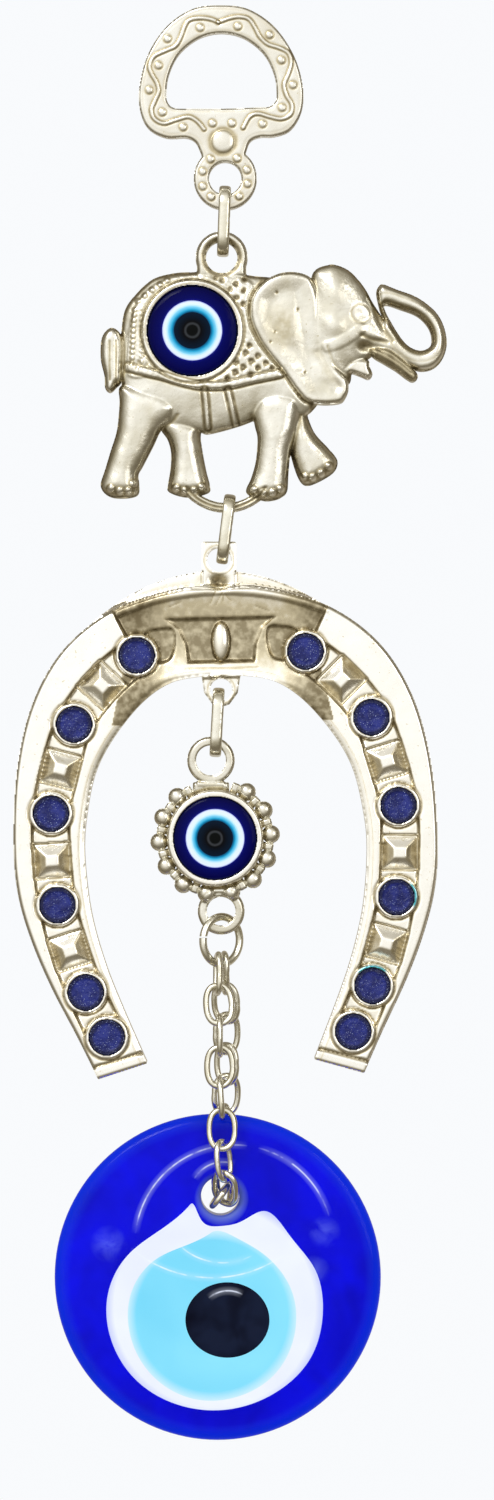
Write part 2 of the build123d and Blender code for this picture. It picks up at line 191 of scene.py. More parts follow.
class Relief(Grid):
    """A casting: an outline with a height map in front and a flat back."""

    def __init__(self, low, high, cell):
        super().__init__(low, high, cell)
        self.outline = np.full(self.X.shape, 9.0)
        self.height = np.full(self.X.shape, -9.0)
        # Stain marks: real tarnish in grooves and hollows, plus painted shade on a few faces
        self.stain_and_shade = np.zeros(self.X.shape)

    def raise_area(self, field, level, edge=0.4, drop=0.3):
        """Adds a plateau whose edge rounds off by drop over a width of edge."""
        t = unit(-field / edge)
        top = level - drop * (1 - np.sqrt(1 - (1 - t) ** 2))
        self.height = np.where(field < 0, np.maximum(self.height, top), self.height)
        self.outline = np.minimum(self.outline, field)

    def sink_area(self, field, level, wall=0.15):
        """Cuts down to a level inside an area, with a wall of the given width."""
        t = unit(-field / wall)
        self.height = np.where(field < 0, np.minimum(self.height, self.height * (1 - t) + level * t),
                               self.height)

    def ridge(self, distance, half_width, rise):
        """A rounded line standing on the surface."""
        self.height = self.height + rise * np.sqrt(unit(1 - (distance / half_width) ** 2))

    def groove(self, distance, half_width, depth, stain_and_shade=0.8):
        """A stained round-bottomed groove where the distance is nought."""
        shape = np.exp(-(distance / half_width) ** 2)
        self.height = self.height - depth * shape
        self.stain_and_shade = np.maximum(self.stain_and_shade, stain_and_shade * shape)

    def bead(self, x, z, r, rise, ring=0.5):
        """A small round bead with a dark groove round it."""
        win = self.window(x - 2 * r, x + 2 * r, z - 2 * r, z + 2 * r)
        d = self.dist(x, z)[win]
        self.height[win] += rise * np.sqrt(unit(1 - (d / r) ** 2))
        line = np.exp(-((d - 1.12 * r) / (0.22 * r + 0.03)) ** 2)
        self.height[win] -= 0.12 * ring * line
        self.stain_and_shade[win] = np.maximum(self.stain_and_shade[win], ring * line)

    def tint(self, area, amount):
        """Stains an area by this amount at least."""
        self.stain_and_shade = np.where(area, np.maximum(self.stain_and_shade, amount), self.stain_and_shade)

    def cut(self, field):
        self.outline = np.maximum(self.outline, -field)

    def mesh(self, name, back, soften=0.6, rim=0.35, rim_drop=0.35, both=False, hollow=1.0):
        """The closed mesh: front from the height map, side walls, and the back."""
        inside = ((self.outline < 0.3) & (self.height > -8)).astype(float)
        weight = blur(inside, soften) + 1e-6
        height = blur(self.height * inside, soften) / weight
        height = np.where(inside > 0, height, 0)
        wide = 0.7 / self.cell
        level = blur(np.where(inside > 0, height, 0), wide) / (blur(inside, wide) + 1e-6)
        cavity = np.clip((level - height) / 0.45, -1, 1)
        cavity = np.where(cavity > 0, hollow * unit(cavity - 0.25), cavity)
        t = unit(-self.outline / rim)
        height = height - rim_drop * (1 - np.sqrt(1 - (1 - t) ** 2))
        stain_and_shade = unit(np.maximum(self.stain_and_shade, unit(cavity)))
        polish = unit(-cavity)
        return contour_mesh(name, self, height, stain_and_shade, polish, back, both)


# For each case of a grid square (bits: corners 0 to 3 inside) the polygons to fill;
# numbers 0-3 are corners, 4-7 the crossings on the sides that follow each corner.
CASES = {1: [(0, 4, 7)], 2: [(1, 5, 4)], 3: [(0, 1, 5, 7)], 4: [(2, 6, 5)],
         5: [(0, 4, 7), (2, 6, 5)], 6: [(1, 2, 6, 4)], 7: [(0, 1, 2, 6, 7)], 8: [(3, 7, 6)],
         9: [(0, 4, 6, 3)], 10: [(1, 5, 4), (3, 7, 6)], 11: [(0, 1, 5, 6, 3)],
         12: [(2, 3, 7, 5)], 13: [(0, 4, 5, 2, 3)], 14: [(1, 2, 3, 7, 4)], 15: [(0, 1, 2, 3)]}


def add_object(name, data):
    made = bpy.data.objects.new(name, data)
    bpy.context.scene.collection.objects.link(made)
    return made


def skin(work, loops, closed=True):
    """Faces between each loop of vertices and the next one."""
    for a, b in zip(loops, loops[1:] + loops[:1] if closed else loops[1:]):
        for k in range(len(a)):
            after = (k + 1) % len(a)
            corners = list(dict.fromkeys((a[k], a[after], b[after], b[k])))
            if len(corners) > 2:
                work.faces.new(corners)


def solid(work, name, sharp=180, mesh=None):
    """The object of a bmesh, smooth except at edges over sharp degrees."""
    mesh = mesh or bpy.data.meshes.new(name)
    bmesh.ops.recalc_face_normals(work, faces=work.faces)
    work.to_mesh(mesh)
    work.free()
    mesh.polygons.foreach_set("use_smooth", [True] * len(mesh.polygons))
    if sharp < 180:
        mesh.set_sharp_from_angle(angle=math.radians(sharp))
    return add_object(name, mesh)


def contour_mesh(name, grid, height, stain_and_shade, polish, back, both):
    """Marching squares over grid.outline; walls and back close the solid."""
    field = np.where(np.abs(grid.outline) < 1e-5, 1e-5, grid.outline)
    inside = field < 0
    count = int(inside.sum())
    index = np.full(field.shape, -1)
    index[inside] = np.arange(count)
    values = np.stack([grid.X, grid.Z, height, stain_and_shade, polish], 2)
    points = [values[inside]]

    def crossings(first, second):
        """Ids of the crossing points on the grid lines between two sets of corners."""
        nonlocal count
        fa, fb = field[first], field[second]
        hit = (fa < 0) != (fb < 0)
        t = (fa / (fa - fb + 1e-12))[hit][:, None]
        va, vb = values[first][hit], values[second][hit]
        inner = np.where((fa < 0)[hit][:, None], va, vb)
        points.append(np.hstack([(va + (vb - va) * t)[:, :2], inner[:, 2:]]))
        ids = np.full(fa.shape, -1)
        ids[hit] = np.arange(count, count + hit.sum())
        count += int(hit.sum())
        return ids

    low, high, every = slice(0, -1), slice(1, None), slice(None)
    along = crossings((every, low), (every, high))
    upward = crossings((low, every), (high, every))
    corners = [(low, low), (low, high), (high, high), (high, low)]
    token = [index[c] for c in corners] + [along[:-1], upward[:, 1:], along[1:], upward[:, :-1]]
    case = sum(inside[c] << k for k, c in enumerate(corners))
    faces, rim = [], []
    for value, polygons in CASES.items():
        cells = case == value
        for polygon in polygons:
            faces += np.stack([token[k][cells] for k in polygon], 1).tolist()
            rim += [np.stack([token[a][cells], token[b][cells]], 1)
                    for a, b in zip(polygon, polygon[1:] + polygon[:1]) if a > 3 and b > 3]
    data, rim = np.concatenate(points), np.concatenate(rim)
    front = np.stack([data[:, 0], -data[:, 2], data[:, 1]], 1)     # faces the viewer, at -Y
    match = np.full(count, -1)
    if both:
        rear = front * (1, -1, 1)
        faces += [[k + count for k in reversed(face)] for face in faces]
        match[:] = np.arange(count) + count
        marks = np.tile(data[:, 3:], (2, 1))
    else:
        edge = np.unique(rim)
        match[edge] = np.arange(len(edge)) + count
        rear = front[edge]
        rear[:, 1] = back(rear[:, 0], rear[:, 2])
        marks = np.concatenate([data[:, 3:], np.tile([[0.35, 0.0]], (len(edge), 1))])
    walls = [[b, a, match[a], match[b]] for a, b in rim.tolist()]
    mesh = bpy.data.meshes.new(name)
    mesh.from_pydata((np.concatenate([front, rear]) * MM).tolist(), [], faces + walls)
    mesh.update()
    for k, label in enumerate(("stain_and_shade", "polish")):
        layer = mesh.attributes.new(label, "FLOAT", "POINT")
        layer.data.foreach_set("value", marks[:, k].astype(np.float32))
    work = bmesh.new()
    work.from_mesh(mesh)
    if not both:
        open_edges = [e for e in work.edges if e.is_boundary]
        bmesh.ops.triangle_fill(work, edges=open_edges, use_beauty=False, normal=(0, 1, 0))
    return solid(work, name, 48, mesh)


def paint(piece, material):
    piece.data.materials.clear()
    piece.data.materials.append(material)


def stand_for(piece, node, material):
    """Puts a piece in a CAD node's place, on the same body."""
    paint(piece, material)
    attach(piece, NODES[node]["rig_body"])
    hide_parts(node)


# ---------------------------------------------------------------- materials

def middle(node):
    """Centre of a CAD node in X and Z, and half its width, in millimetres."""
    low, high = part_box(node)
    return (low.x + high.x) / 2 / MM, (low.z + high.z) / 2 / MM, (high.x - low.x) / 2 / MM


class Shader:
    """A node material on one Principled shader; lengths in its nodes are in metres."""

    def __init__(self, name, **values):
        self.mat = bpy.data.materials.new(name)
        self.mat.use_nodes = True
        self.tree = self.mat.node_tree
        self.bsdf = self.tree.nodes["Principled BSDF"]
        for key, value in values.items():
            self.bsdf.inputs[key.replace("_", " ")].default_value = value
        self.place = self.node("TexCoord").outputs["Object"]

    def node(self, kind, sockets=(), **settings):
        """A new node with the given settings, and values or links on its input sockets."""
        made = self.tree.nodes.new("ShaderNode" + kind)
        for key, value in settings.items():
            setattr(made, key, value)
        for key, value in dict(sockets).items():
            self.feed(made.inputs[key], value)
        return made

    def feed(self, socket, value):
        if isinstance(value, bpy.types.NodeSocket):
            self.tree.links.new(value, socket)
        else:
            socket.default_value = value

    def noise(self, size, detail=2.0, distort=0.0):
        """Noise with features about size millimetres across, from 0 to 1."""
        return self.node("TexNoise", {"Vector": self.place, "Scale": 1 / (size * MM), "Detail": detail,
                                      "Distortion": distort}).outputs["Fac"]

    def cells(self, size):
        """Distance to the nearest of scattered points about size millimetres apart."""
        return self.node("TexVoronoi", {"Vector": self.place, "Scale": 1 / (size * MM)}).outputs["Distance"]

    def math(self, operation, a, b=0.0, clamp=False):
        return self.node("Math", {0: a, 1: b}, operation=operation, use_clamp=clamp).outputs[0]

    def add(self, a, b, clamp=False):
        return self.math("ADD", a, b, clamp)

    def mul(self, a, b, clamp=False):
        return self.math("MULTIPLY", a, b, clamp)

    def spread(self, value, low, high, to_low=0.0, to_high=1.0):
        """Stretches a value from one range to another, kept inside it."""
        return self.node("MapRange", {"Value": value, "From Min": low, "From Max": high, "To Min": to_low,
                                      "To Max": to_high}).outputs["Result"]

    def mix(self, factor, a, b):
        made = self.node("Mix", {"Factor": factor}, data_type="RGBA")
        for socket, value in zip([s for s in made.inputs if s.type == "RGBA"], (a, b)):
            self.feed(socket, (*value, 1.0) if isinstance(value, tuple) and len(value) == 3 else value)
        return [s for s in made.outputs if s.type == "RGBA"][0]

    def ramp(self, value, stops):
        made = self.node("ValToRGB", {"Fac": value})
        band = made.color_ramp
        while len(band.elements) < len(stops):
            band.elements.new(0.5)
        for element, (at, colour) in zip(band.elements, stops):
            element.position = at
            element.color = (*colour, 1.0)
        return made.outputs["Color"]

    def offset(self, x, z):
        """How far X and Z are from a point, and the distance from it."""
        split = self.node("SeparateXYZ", {0: self.place})
        dx, dz = (self.math("SUBTRACT", split.outputs[k], at * MM) for k, at in ((0, x), (2, z)))
        return dx, dz, self.math("SQRT", self.add(self.mul(dx, dx), self.mul(dz, dz)))

    def radius(self, x, z, outer):
        """Distance from a point in X and Z, 1 at the outer radius (millimetres)."""
        return self.mul(self.offset(x, z)[2], 1 / (outer * MM))

    def arc(self, x, z, radius, width, towards=0, reach=180):
        """Thin arc about a point in X and Z, centred on a direction, 0 to 1 (millimetres, degrees)."""
        dx, dz, far = self.offset(x, z)
        off = self.math("ABSOLUTE", self.math("SUBTRACT", far, radius * MM))
        band = self.spread(off, 0.0, width * MM, 1.0, 0.0)
        if reach >= 180:
            return band
        a, edge = math.radians(towards), math.cos(math.radians(reach))
        along = self.add(self.mul(dx, math.cos(a)), self.mul(dz, math.sin(a)))
        return self.mul(band, self.spread(self.math("DIVIDE", along, far), edge, edge + 0.12))

    def mark(self, name):
        return self.node("Attribute", attribute_name=name).outputs["Fac"]

    def bump(self, height, depth):
        made = self.node("Bump", {"Distance": depth * MM, "Height": height})
        self.feed(self.bsdf.inputs["Normal"], made.outputs["Normal"])

    def colour(self, value):
        self.feed(self.bsdf.inputs["Base Color"], value)

    def rough(self, value):
        self.feed(self.bsdf.inputs["Roughness"], value)


def silver(name, light, warm, tarnish_and_shade, dark, rough, grain, smears=()):
    """Antiqued plate: pale and warm clouds, tarnish and stain in the hollows plus painted shade on some
    faces, fine casting grain.
    """
    s = Shader(name, Metallic=1.0)
    clouds = s.spread(s.noise(5.0, 3.0, 0.4), 0.38, 0.64)
    base = s.mix(clouds, light, warm)
    specks = s.spread(s.noise(0.45, 3.0), 0.66, 0.74)
    # The stain marks carry real tarnish and also painted shade, such as the darkened side facets of the
    # horseshoe's pyramids
    stain_and_shade = s.mark("stain_and_shade")
    patchy = s.mul(stain_and_shade, s.spread(s.noise(1.1, 2.0), 0.25, 0.6, 0.55, 1.0))
    dirt_and_shade = s.math("MAXIMUM", patchy, s.mul(specks, 0.35), clamp=True)
    shine = s.mul(s.mark("polish"), 0.8, clamp=True)
    base = s.mix(shine, base, (0.95, 0.935, 0.89))
    base = s.mix(s.spread(dirt_and_shade, 0.02, 0.35), base, tarnish_and_shade)
    base = s.mix(s.spread(dirt_and_shade, 0.15, 0.95), base, dark)
    for smear in smears:
        base = s.mix(s.arc(*smear), base, (0.0, 0.40, 0.52))
    s.colour(base)
    wear = s.spread(s.noise(1.6, 4.0), 0.3, 0.7, rough * 0.7, rough * 1.35)
    s.rough(s.add(wear, s.mul(dirt_and_shade, 0.28), clamp=True))
    waves = s.add(s.noise(4.2, 1.0), s.mul(s.noise(1.5, 2.0), 0.16))
    s.bump(s.add(waves, s.mul(s.noise(0.5, 3.0), 0.07)), grain)
    return s.mat


SMEARS = [(*middle(f"enamel_right_{number}")[:2], 2.95, 0.42, towards, reach)
          for number, towards, reach in ((4, 8, 42), (5, 92, 50))]
SILVER = silver("cast_silver", (0.80, 0.785, 0.72), (0.66, 0.63, 0.53), (0.60, 0.54, 0.38),
                (0.12, 0.09, 0.045), 0.24, 0.30)
PLATE = silver("plate_silver", (0.80, 0.79, 0.74), (0.72, 0.69, 0.61), (0.64, 0.57, 0.40),
               (0.16, 0.12, 0.05), 0.26, 0.12)
BRIGHT = silver("shoe_silver", (0.985, 0.98, 0.955), (0.965, 0.955, 0.92), (0.86, 0.78, 0.58),
                (0.10, 0.067, 0.018), 0.17, 0.06, SMEARS)
WIRE = silver("link_silver", (0.88, 0.87, 0.80), (0.72, 0.69, 0.58), (0.60, 0.55, 0.40),
              (0.12, 0.095, 0.05), 0.17, 0.26)


def resin(name, x, z, outer, stops, rough=0.06):
    """Poured resin of an eye, coloured by the distance from its centre."""
    s = Shader(name, Specular_IOR_Level=0.05)
    r = s.add(s.radius(x, z, outer), s.spread(s.noise(1.3, 2.0), 0.0, 1.0, -0.012, 0.012))
    s.colour(s.ramp(r, stops))
    s.rough(s.spread(s.noise(0.9, 3.0), 0.3, 0.7, rough * 0.6, rough * 1.8))
    s.bump(s.noise(2.2, 2.0), 0.03)
    return s.mat


def eye_materials(prefix, label):
    """The four resin colours of an eye, each ramp running over the whole bead radius."""
    x, z, outer = middle(f"{prefix}_blue")
    white = middle(f"{prefix}_white")[2] / outer
    cyan = middle(f"{prefix}_light_blue")[2] / outer
    black = middle(f"{prefix}_pupil")[2] / outer
    navy = (0.0, 0.0, 0.05)
    return {
        "blue": resin(f"{label}_navy", x, z, outer,
                      [(white, (0.004, 0.005, 0.17)), (white + 0.05, (0.0, 0.001, 0.085)),
                       (0.93, navy), (1.0, (0.002, 0.003, 0.05))]),
        "white": resin(f"{label}_white", x, z, outer,
                       [(cyan, (0.30, 0.66, 0.84)), (cyan + 0.05, (0.66, 0.79, 0.88)),
                        (white - 0.03, (0.70, 0.77, 0.89)), (white, (0.30, 0.36, 0.70))]),
        "light_blue": resin(f"{label}_cyan", x, z, outer,
                            [(black, (0.002, 0.05, 0.12)), (black + 0.03, (0.005, 0.17, 0.34)),
                             (black + 0.5 * (cyan - black), (0.025, 0.36, 0.60)),
                             (cyan, (0.22, 0.60, 0.80))]),
        # The grey ring at about four tenths of the pupil's radius is a painted highlight
        "pupil": resin(f"{label}_black", x, z, outer,
                       [(0.28 * black, (0.0015, 0.002, 0.002)), (0.38 * black, (0.035, 0.038, 0.042)),
                        (0.48 * black, (0.001, 0.001, 0.0015)), (black, (0.001, 0.008, 0.022))]),
    }


def enamel():
    """Glossy dark blue enamel, wrinkled, full of fine sparkle and darker towards each dot's edge."""
    s = Shader("enamel_blue", Specular_IOR_Level=0.28)
    edge = 9.0
    for node in NODES:
        if node.startswith("enamel"):
            edge = s.math("MINIMUM", s.radius(*middle(node)), edge)
    flakes = s.spread(s.cells(0.3), 0.08, 0.26, 1.0, 0.0)
    shown = s.mul(flakes, s.spread(s.noise(0.7, 3.0), 0.41, 0.60))
    base = s.mix(s.spread(s.noise(1.8, 3.0), 0.35, 0.65), (0.004, 0.008, 0.095), (0.015, 0.024, 0.19))
    base = s.mix(s.spread(edge, 0.74, 0.88), base, (0.002, 0.004, 0.045))
    s.colour(s.mix(s.mul(shown, 1.5, clamp=True), base, (0.42, 0.49, 0.80)))
    s.rough(s.spread(s.noise(0.5, 3.0), 0.3, 0.7, 0.14, 0.42))
    folds = s.add(s.mul(s.noise(1.3, 4.0, 1.4), 0.9), s.mul(shown, 0.25))
    s.bump(s.add(folds, s.spread(edge, 0.70, 0.84, 0.0, 0.3)), 0.45)
    return s.mat


HOLE = (0.1, -179.0)
# Painted highlight arcs on the glass: centre X and Z, radius, direction and half reach (millimetres, degrees)
GLINT_ARCS = ((2.0, -186.0, 15.2, 128, 46), (2.0, -186.0, 15.2, 46, 30), (0.3, -179.1, 9.7, -100, 38),
           (-1.4, -171.8, 19.3, -92, 38), (0.4, -178.6, 5.2, 110, 40), (1.1, -197.6, 4.5, 96, 36))


def glass(name, deep, pale, see, cloud=9.0, rough=0.05, rim=None, border=None):
    """Cast glass with slow clouds of colour, painted highlight arcs, painted reflection patches on the body,
    and a bump of faint pressing rings.
    """
    s = Shader(name, Transmission_Weight=see, IOR=1.45, Specular_IOR_Level=0.06)
    clouds = s.spread(s.noise(cloud, 2.0, 0.3), 0.3, 0.7)
    tint = s.mix(clouds, deep, pale)
    gx, gz, gr = middle("glass_body")
    r = s.radius(gx, gz, gr)
    if rim:
        tint = s.mix(s.spread(r, 0.90, 1.0), tint, rim)
        hx, hz = HOLE
        tint = s.mix(s.arc(hx, hz, 2.9, 1.3), tint, (0.12, 0.17, 0.60))
        # Painted reflections: three soft pale patches on the cobalt body
        gleam = s.spread(s.noise(2.8, 3.0, 0.6), 0.36, 0.62)
        for x, z, width in ((-17.2, -186.0, 3.0), (15.9, -184.2, 2.6), (14.4, -190.0, 2.4)):
            painted_reflection = s.mul(s.arc(x, z, 0.0, width), gleam)
            tint = s.mix(s.mul(painted_reflection, 0.24), tint, (0.26, 0.34, 0.92))
    # Painted highlights: thin pale arcs, broken up by noise, with a soft glow round them
    glint_breaks = s.spread(s.noise(2.6, 3.0), 0.40, 0.56)
    for x, z, radius, towards, reach in GLINT_ARCS:
        glow = s.mul(s.arc(x, z, radius, 0.75, towards, reach), 0.16)
        shine = s.mul(s.arc(x, z, radius, 0.17, towards, reach), glint_breaks)
        tint = s.mix(s.add(s.mul(shine, 0.7), glow, clamp=True), tint, (0.80, 0.85, 1.0))
    if border:
        node, stops = border
        bx, bz, br = middle(node)
        ring = s.radius(bx, bz, br)
        for start, end, shade in stops:
            tint = s.mix(s.spread(ring, start, end), tint, shade)
    s.colour(tint)
    s.rough(s.spread(s.noise(3.0, 3.0), 0.3, 0.7, rough * 0.6, rough * 1.6))
    rings = s.math("SINE", s.mul(r, 34.0))
    s.bump(s.add(s.mul(rings, 0.18), s.noise(6.0, 2.0)), 0.10)
    return s.mat


# ---------------------------------------------------------------- castings

def hanger():
    g = Relief((-13.4, -27.8), (13.6, 5), 0.12)
    ex, ez = 0.66, -22.32
    outer = g.area([
        (0.1, 4.3), (4.2, 3.7), (8.2, 1), (11.2, -3.4), (12.6, -8.2), (12.4, -12), (10.7, -14.9),
        (8.2, -15.9), (6, -16), (4.5, -16.7), (3.8, -18.4), (3.2, -20), (-2.2, -20), (-3.1, -18.4),
        (-3.9, -16.8), (-5.4, -16.1), (-8.4, -16.1), (-11.2, -14.6), (-12.5, -11.6), (-12.5, -7.8),
        (-11.1, -3), (-8.2, 1.2), (-4.2, 3.8)])
    eye = g.circle(ex, ez, 4.85)
    plate = np.minimum(outer, eye)
    g.raise_area(plate, 1, edge=0.5, drop=0.05)
    g.groove(plate + 0.6, 0.2, 0.04, stain_and_shade=0.12)
    g.bead(0.3, -16.7, 1.75, 0.3)
    wave = [
        (-2.6, -14.8), (-3.6, -13.6), (-5, -12.9), (-7, -13.4), (-8.8, -13.9), (-10.2, -13.2), (-10.7, -11.9),
        (-10.2, -10.5), (-9.6, -9), (-9.9, -7.6), (-10.7, -6.2), (-11, -5), (-10.3, -3.6), (-8.5, -2.7),
        (-7, -2), (-6.2, -0.6), (-5.6, 1), (-4.8, 2), (-3.2, 2.3), (-1.5, 2.1), (-0.4, 1.6)]
    wave_right = [
        (-0.4, 1.6), (0.8, 2.1), (2.5, 2.5), (4.2, 2.2), (5.2, 0.9), (6, -0.6), (7.2, -1.7), (9, -2.3),
        (10.4, -3.1), (10.8, -4.6), (10.3, -6.4), (9.7, -8), (10.1, -9.6), (10.9, -11), (10.7, -12.5),
        (9.3, -13.2), (7.6, -12.9), (5.7, -12.4), (4.4, -12.9), (3.4, -14.6)]
    for line in (wave, wave_right):
        d = g.path(line)
        g.groove(d - 0.36, 0.12, 0.08, stain_and_shade=0.7)
        g.ridge(d, 0.32, 0.14)
    for x, z in [
        (-3.2, 0.8), (2.6, 1), (-8.2, -0.9), (7.5, -0.3), (-9.6, -5), (9.3, -4.2), (-11, -8.8),
        (11.1, -8), (-9, -12.2), (9.4, -11.5), (-5.8, -14.5), (6.4, -14), (-1.3, -13.9), (1.7, -13.9),
        (-1.6, -19.4), (2.5, -19.3), (-2.8, -21.3), (4, -21.1), (-2.8, -23.6), (4.1, -23.2), (-1.5, -25.2),
        (2.8, -25.1)]:
        g.bead(x, z, 0.58, 0.15)
    opening = g.area([
        (0.1, 0), (3.6, -0.8), (6.6, -3.2), (8.2, -6.4), (8.55, -9.4), (8.3, -10.6), (7.4, -11.3),
        (5.6, -11.4), (0.1, -11.6), (-5.4, -11.6), (-7.2, -11.5), (-8.1, -10.8), (-8.4, -9.4), (-8, -6.4),
        (-6.4, -3.2), (-3.4, -0.8)])
    g.cut(opening)
    hole = g.circle(ex, ez, 2.49)
    g.cut(hole)
    for field in (opening, hole):
        g.groove(field - 0.5, 0.14, 0.04, stain_and_shade=0.2)
    return g.mesh("hanger_plate", 1, soften=0.7, rim=0.55, rim_drop=0.5, both=True, hollow=0.6)


def elephant():
    g = Relief((-19.4, -74.5), (35.6, -29.8), 0.15)
    torso = g.area([
        (-15.3, -54), (-15.6, -50), (-15.4, -46.5), (-14.8, -42.6), (-13, -40), (-10.5, -37.8), (-7.5, -36.9),
        (-4.8, -36.7), (0, -36.6), (5.2, -37.3), (10, -38), (16, -42), (18, -50), (14.5, -57.5),
        (10.5, -59.6), (6.4, -59.2), (3.3, -60.2), (1, -60.9), (-2, -61.6), (-3.2, -61.3), (-5.6, -60.9),
        (-9.2, -60.6), (-12, -59), (-15.3, -57)], margin=8.0)
    g.raise_area(torso, 2.05, edge=7.5, drop=1.9)
    far_rear = g.area([
        (-9.8, -59.4), (-9.2, -61), (-8.2, -62.5), (-7.7, -64.5), (-7.8, -67), (-8.2, -69.5), (-8.1, -70.4),
        (-6.5, -71.1), (-4.5, -71.3), (-1.9, -70.6), (-1.7, -69.5), (-2.2, -67.5), (-2.7, -65), (-3.1, -62.5),
        (-3.4, -60.2), (-6.5, -58.8)])
    far_front = g.area([
        (9.6, -58), (11.5, -56.6), (13.2, -57.6), (13.4, -59), (14.5, -61.5), (16.5, -63.7), (17.8, -65.3),
        (17.9, -66.5), (17.2, -67.6), (15.5, -68.7), (13.5, -69.5), (12.3, -69), (11.3, -66.8),
        (10.4, -63.2)])
    for leg in (far_rear, far_front):
        g.raise_area(leg, 1.15, edge=2.4, drop=2.2)
    near_rear = g.area([
        (-15.4, -54.2), (-11.5, -54.6), (-8.2, -55.6), (-6.6, -57.4), (-7.2, -59.2), (-9.2, -61),
        (-10.4, -63.4), (-12, -66.5), (-12.7, -67.8), (-12.6, -69.2), (-12.7, -70.8), (-14, -71.4),
        (-16.5, -71.4), (-18, -70.6), (-18.5, -69.3), (-17.8, -67), (-16.9, -64), (-16, -61), (-15.6, -57)])
    near_front = g.area([
        (4.9, -58), (6, -55.8), (9, -54.8), (12, -56.2), (11.9, -60), (10.8, -64), (10.4, -67.5),
        (10.2, -70.3), (9.3, -71.3), (8, -71.8), (6.3, -71.8), (3.9, -70.6), (4.6, -68.5), (5.2, -66.5),
        (5.5, -64.5), (5.6, -62), (5.2, -60.3)])
    for leg in (near_rear, near_front):
        g.raise_area(leg, 2.2, edge=2.7, drop=2.0)
        g.groove(np.where(g.Z < -58.5, leg - 0.15, 9), 0.3, 0.12, stain_and_shade=0.45)
    for x, z in [
        (-16.9, -70.1), (-15.5, -70.5), (-14.2, -70.5), (-13.4, -69.3), (-6.9, -70), (-5.6, -70.4),
        (-4.2, -70.4), (-2.9, -69.8), (5, -70.2), (6.4, -70.7), (7.9, -70.7), (9.2, -70.1), (12.8, -68.2),
        (14.1, -68.3), (15.4, -67.7), (16.6, -66.6)]:
        g.bead(x, z, 0.62, 0.32, ring=0.55)
    # Head, trunk, tusk, jaw
    head = g.area([
        (13.6, -39.5), (14.3, -36.6), (16.5, -35.6), (18, -35.7), (19.7, -36.5), (21.2, -38), (22.3, -39.5),
        (23.4, -41.5), (25.2, -44.2), (27.2, -46.8), (28.6, -48.4), (27, -49.4), (24.6, -48.9),
        (22.6, -50.1), (21.2, -51.4), (20.2, -52.1), (19.4, -54), (15, -53), (12.5, -46)], margin=6.0)
    g.raise_area(head, 2.3, edge=5.0, drop=2.0)
    for x, z, r, rise in [(17.6, -40.4, 3.4, 0.35), (17.4, -45, 2.6, 0.45), (20.6, -42.4, 2.4, 0.2)]:
        d = g.dist(x, z) / r
        g.height += rise * np.exp(-2.2 * d * d)
    loop = g.area([
        (25.1, -41.9), (27.8, -42.5), (30.4, -43.6), (32.1, -45.6), (32.3, -47.9), (30.7, -48.8),
        (28.6, -47.9), (26.6, -45.2)])
    trunk = g.area([
        (23.9, -40), (24.2, -39), (24.9, -38.6), (27, -39.4), (29.5, -40.3), (31.5, -41.5), (33.3, -43.2),
        (34.4, -45.5), (34.7, -48), (34, -50.2), (32.5, -51.6), (30.5, -51.9), (28.4, -51), (26.4, -49.6),
        (24, -48.4), (22.5, -46), (24.2, -45.2), (25, -44.2), (24.4, -42.4)])
    g.raise_area(np.maximum(trunk, -loop), 1.75, edge=1.3, drop=1.35)
    for offset, depth, stain_and_shade in ((0.55, 0.12, 0.75), (1.75, 0.05, 0.25)):
        g.groove(np.where(trunk < 0.2, loop - offset, 9), 0.17, depth, stain_and_shade)
    tusk = g.area([
        (22.8, -48.6), (25.5, -48.5), (27.8, -50), (29.9, -52), (30.2, -53.1), (29.5, -53.6),
        (28.6, -53.2), (27, -52), (25.2, -50.9), (23.4, -49.8)])
    g.raise_area(tusk, 2.05, edge=0.9, drop=0.9)
    for shift in (-0.45, 0.35):
        g.groove(g.path([(24, -49.1 + shift), (26.8, -50.7 + shift), (29.2, -52.6 + shift)]), 0.16, 0.2, 1)
    g.tint(tusk < 0, 0.5)
    jaw = g.area([
        (20, -50.4), (22.5, -50.2), (22.9, -51.4), (23.3, -52.5), (22.7, -53.2), (21.6, -52.8),
        (20.2, -52.3), (18.8, -52.2)])
    g.raise_area(jaw, 1.7, edge=0.8, drop=0.8)
    mouth = np.hypot(g.X - 22.2, (g.Z + 48.2) * 1.4)
    g.groove(mouth, 1.1, 0.7, stain_and_shade=0.8)
    g.ridge(g.path([(16.2, -48.3), (18, -47.8), (19.8, -46.8), (21.5, -45.5)]), 0.9, 0.16)
    g.groove(g.path([(21.6, -46.5), (23.4, -47.2), (25.6, -47.6)]), 0.3, 0.18, 0.5)
    g.groove(g.path([(23.3, -41.8), (24.4, -44.6), (26.4, -47.4)]), 0.3, 0.2, 0.6)
    iris = g.dist(21.5, -43.2)
    g.groove(iris - 1.45, 0.16, 0.12, stain_and_shade=0.35)
    g.height -= 0.18 * unit(1 - iris / 1.35)
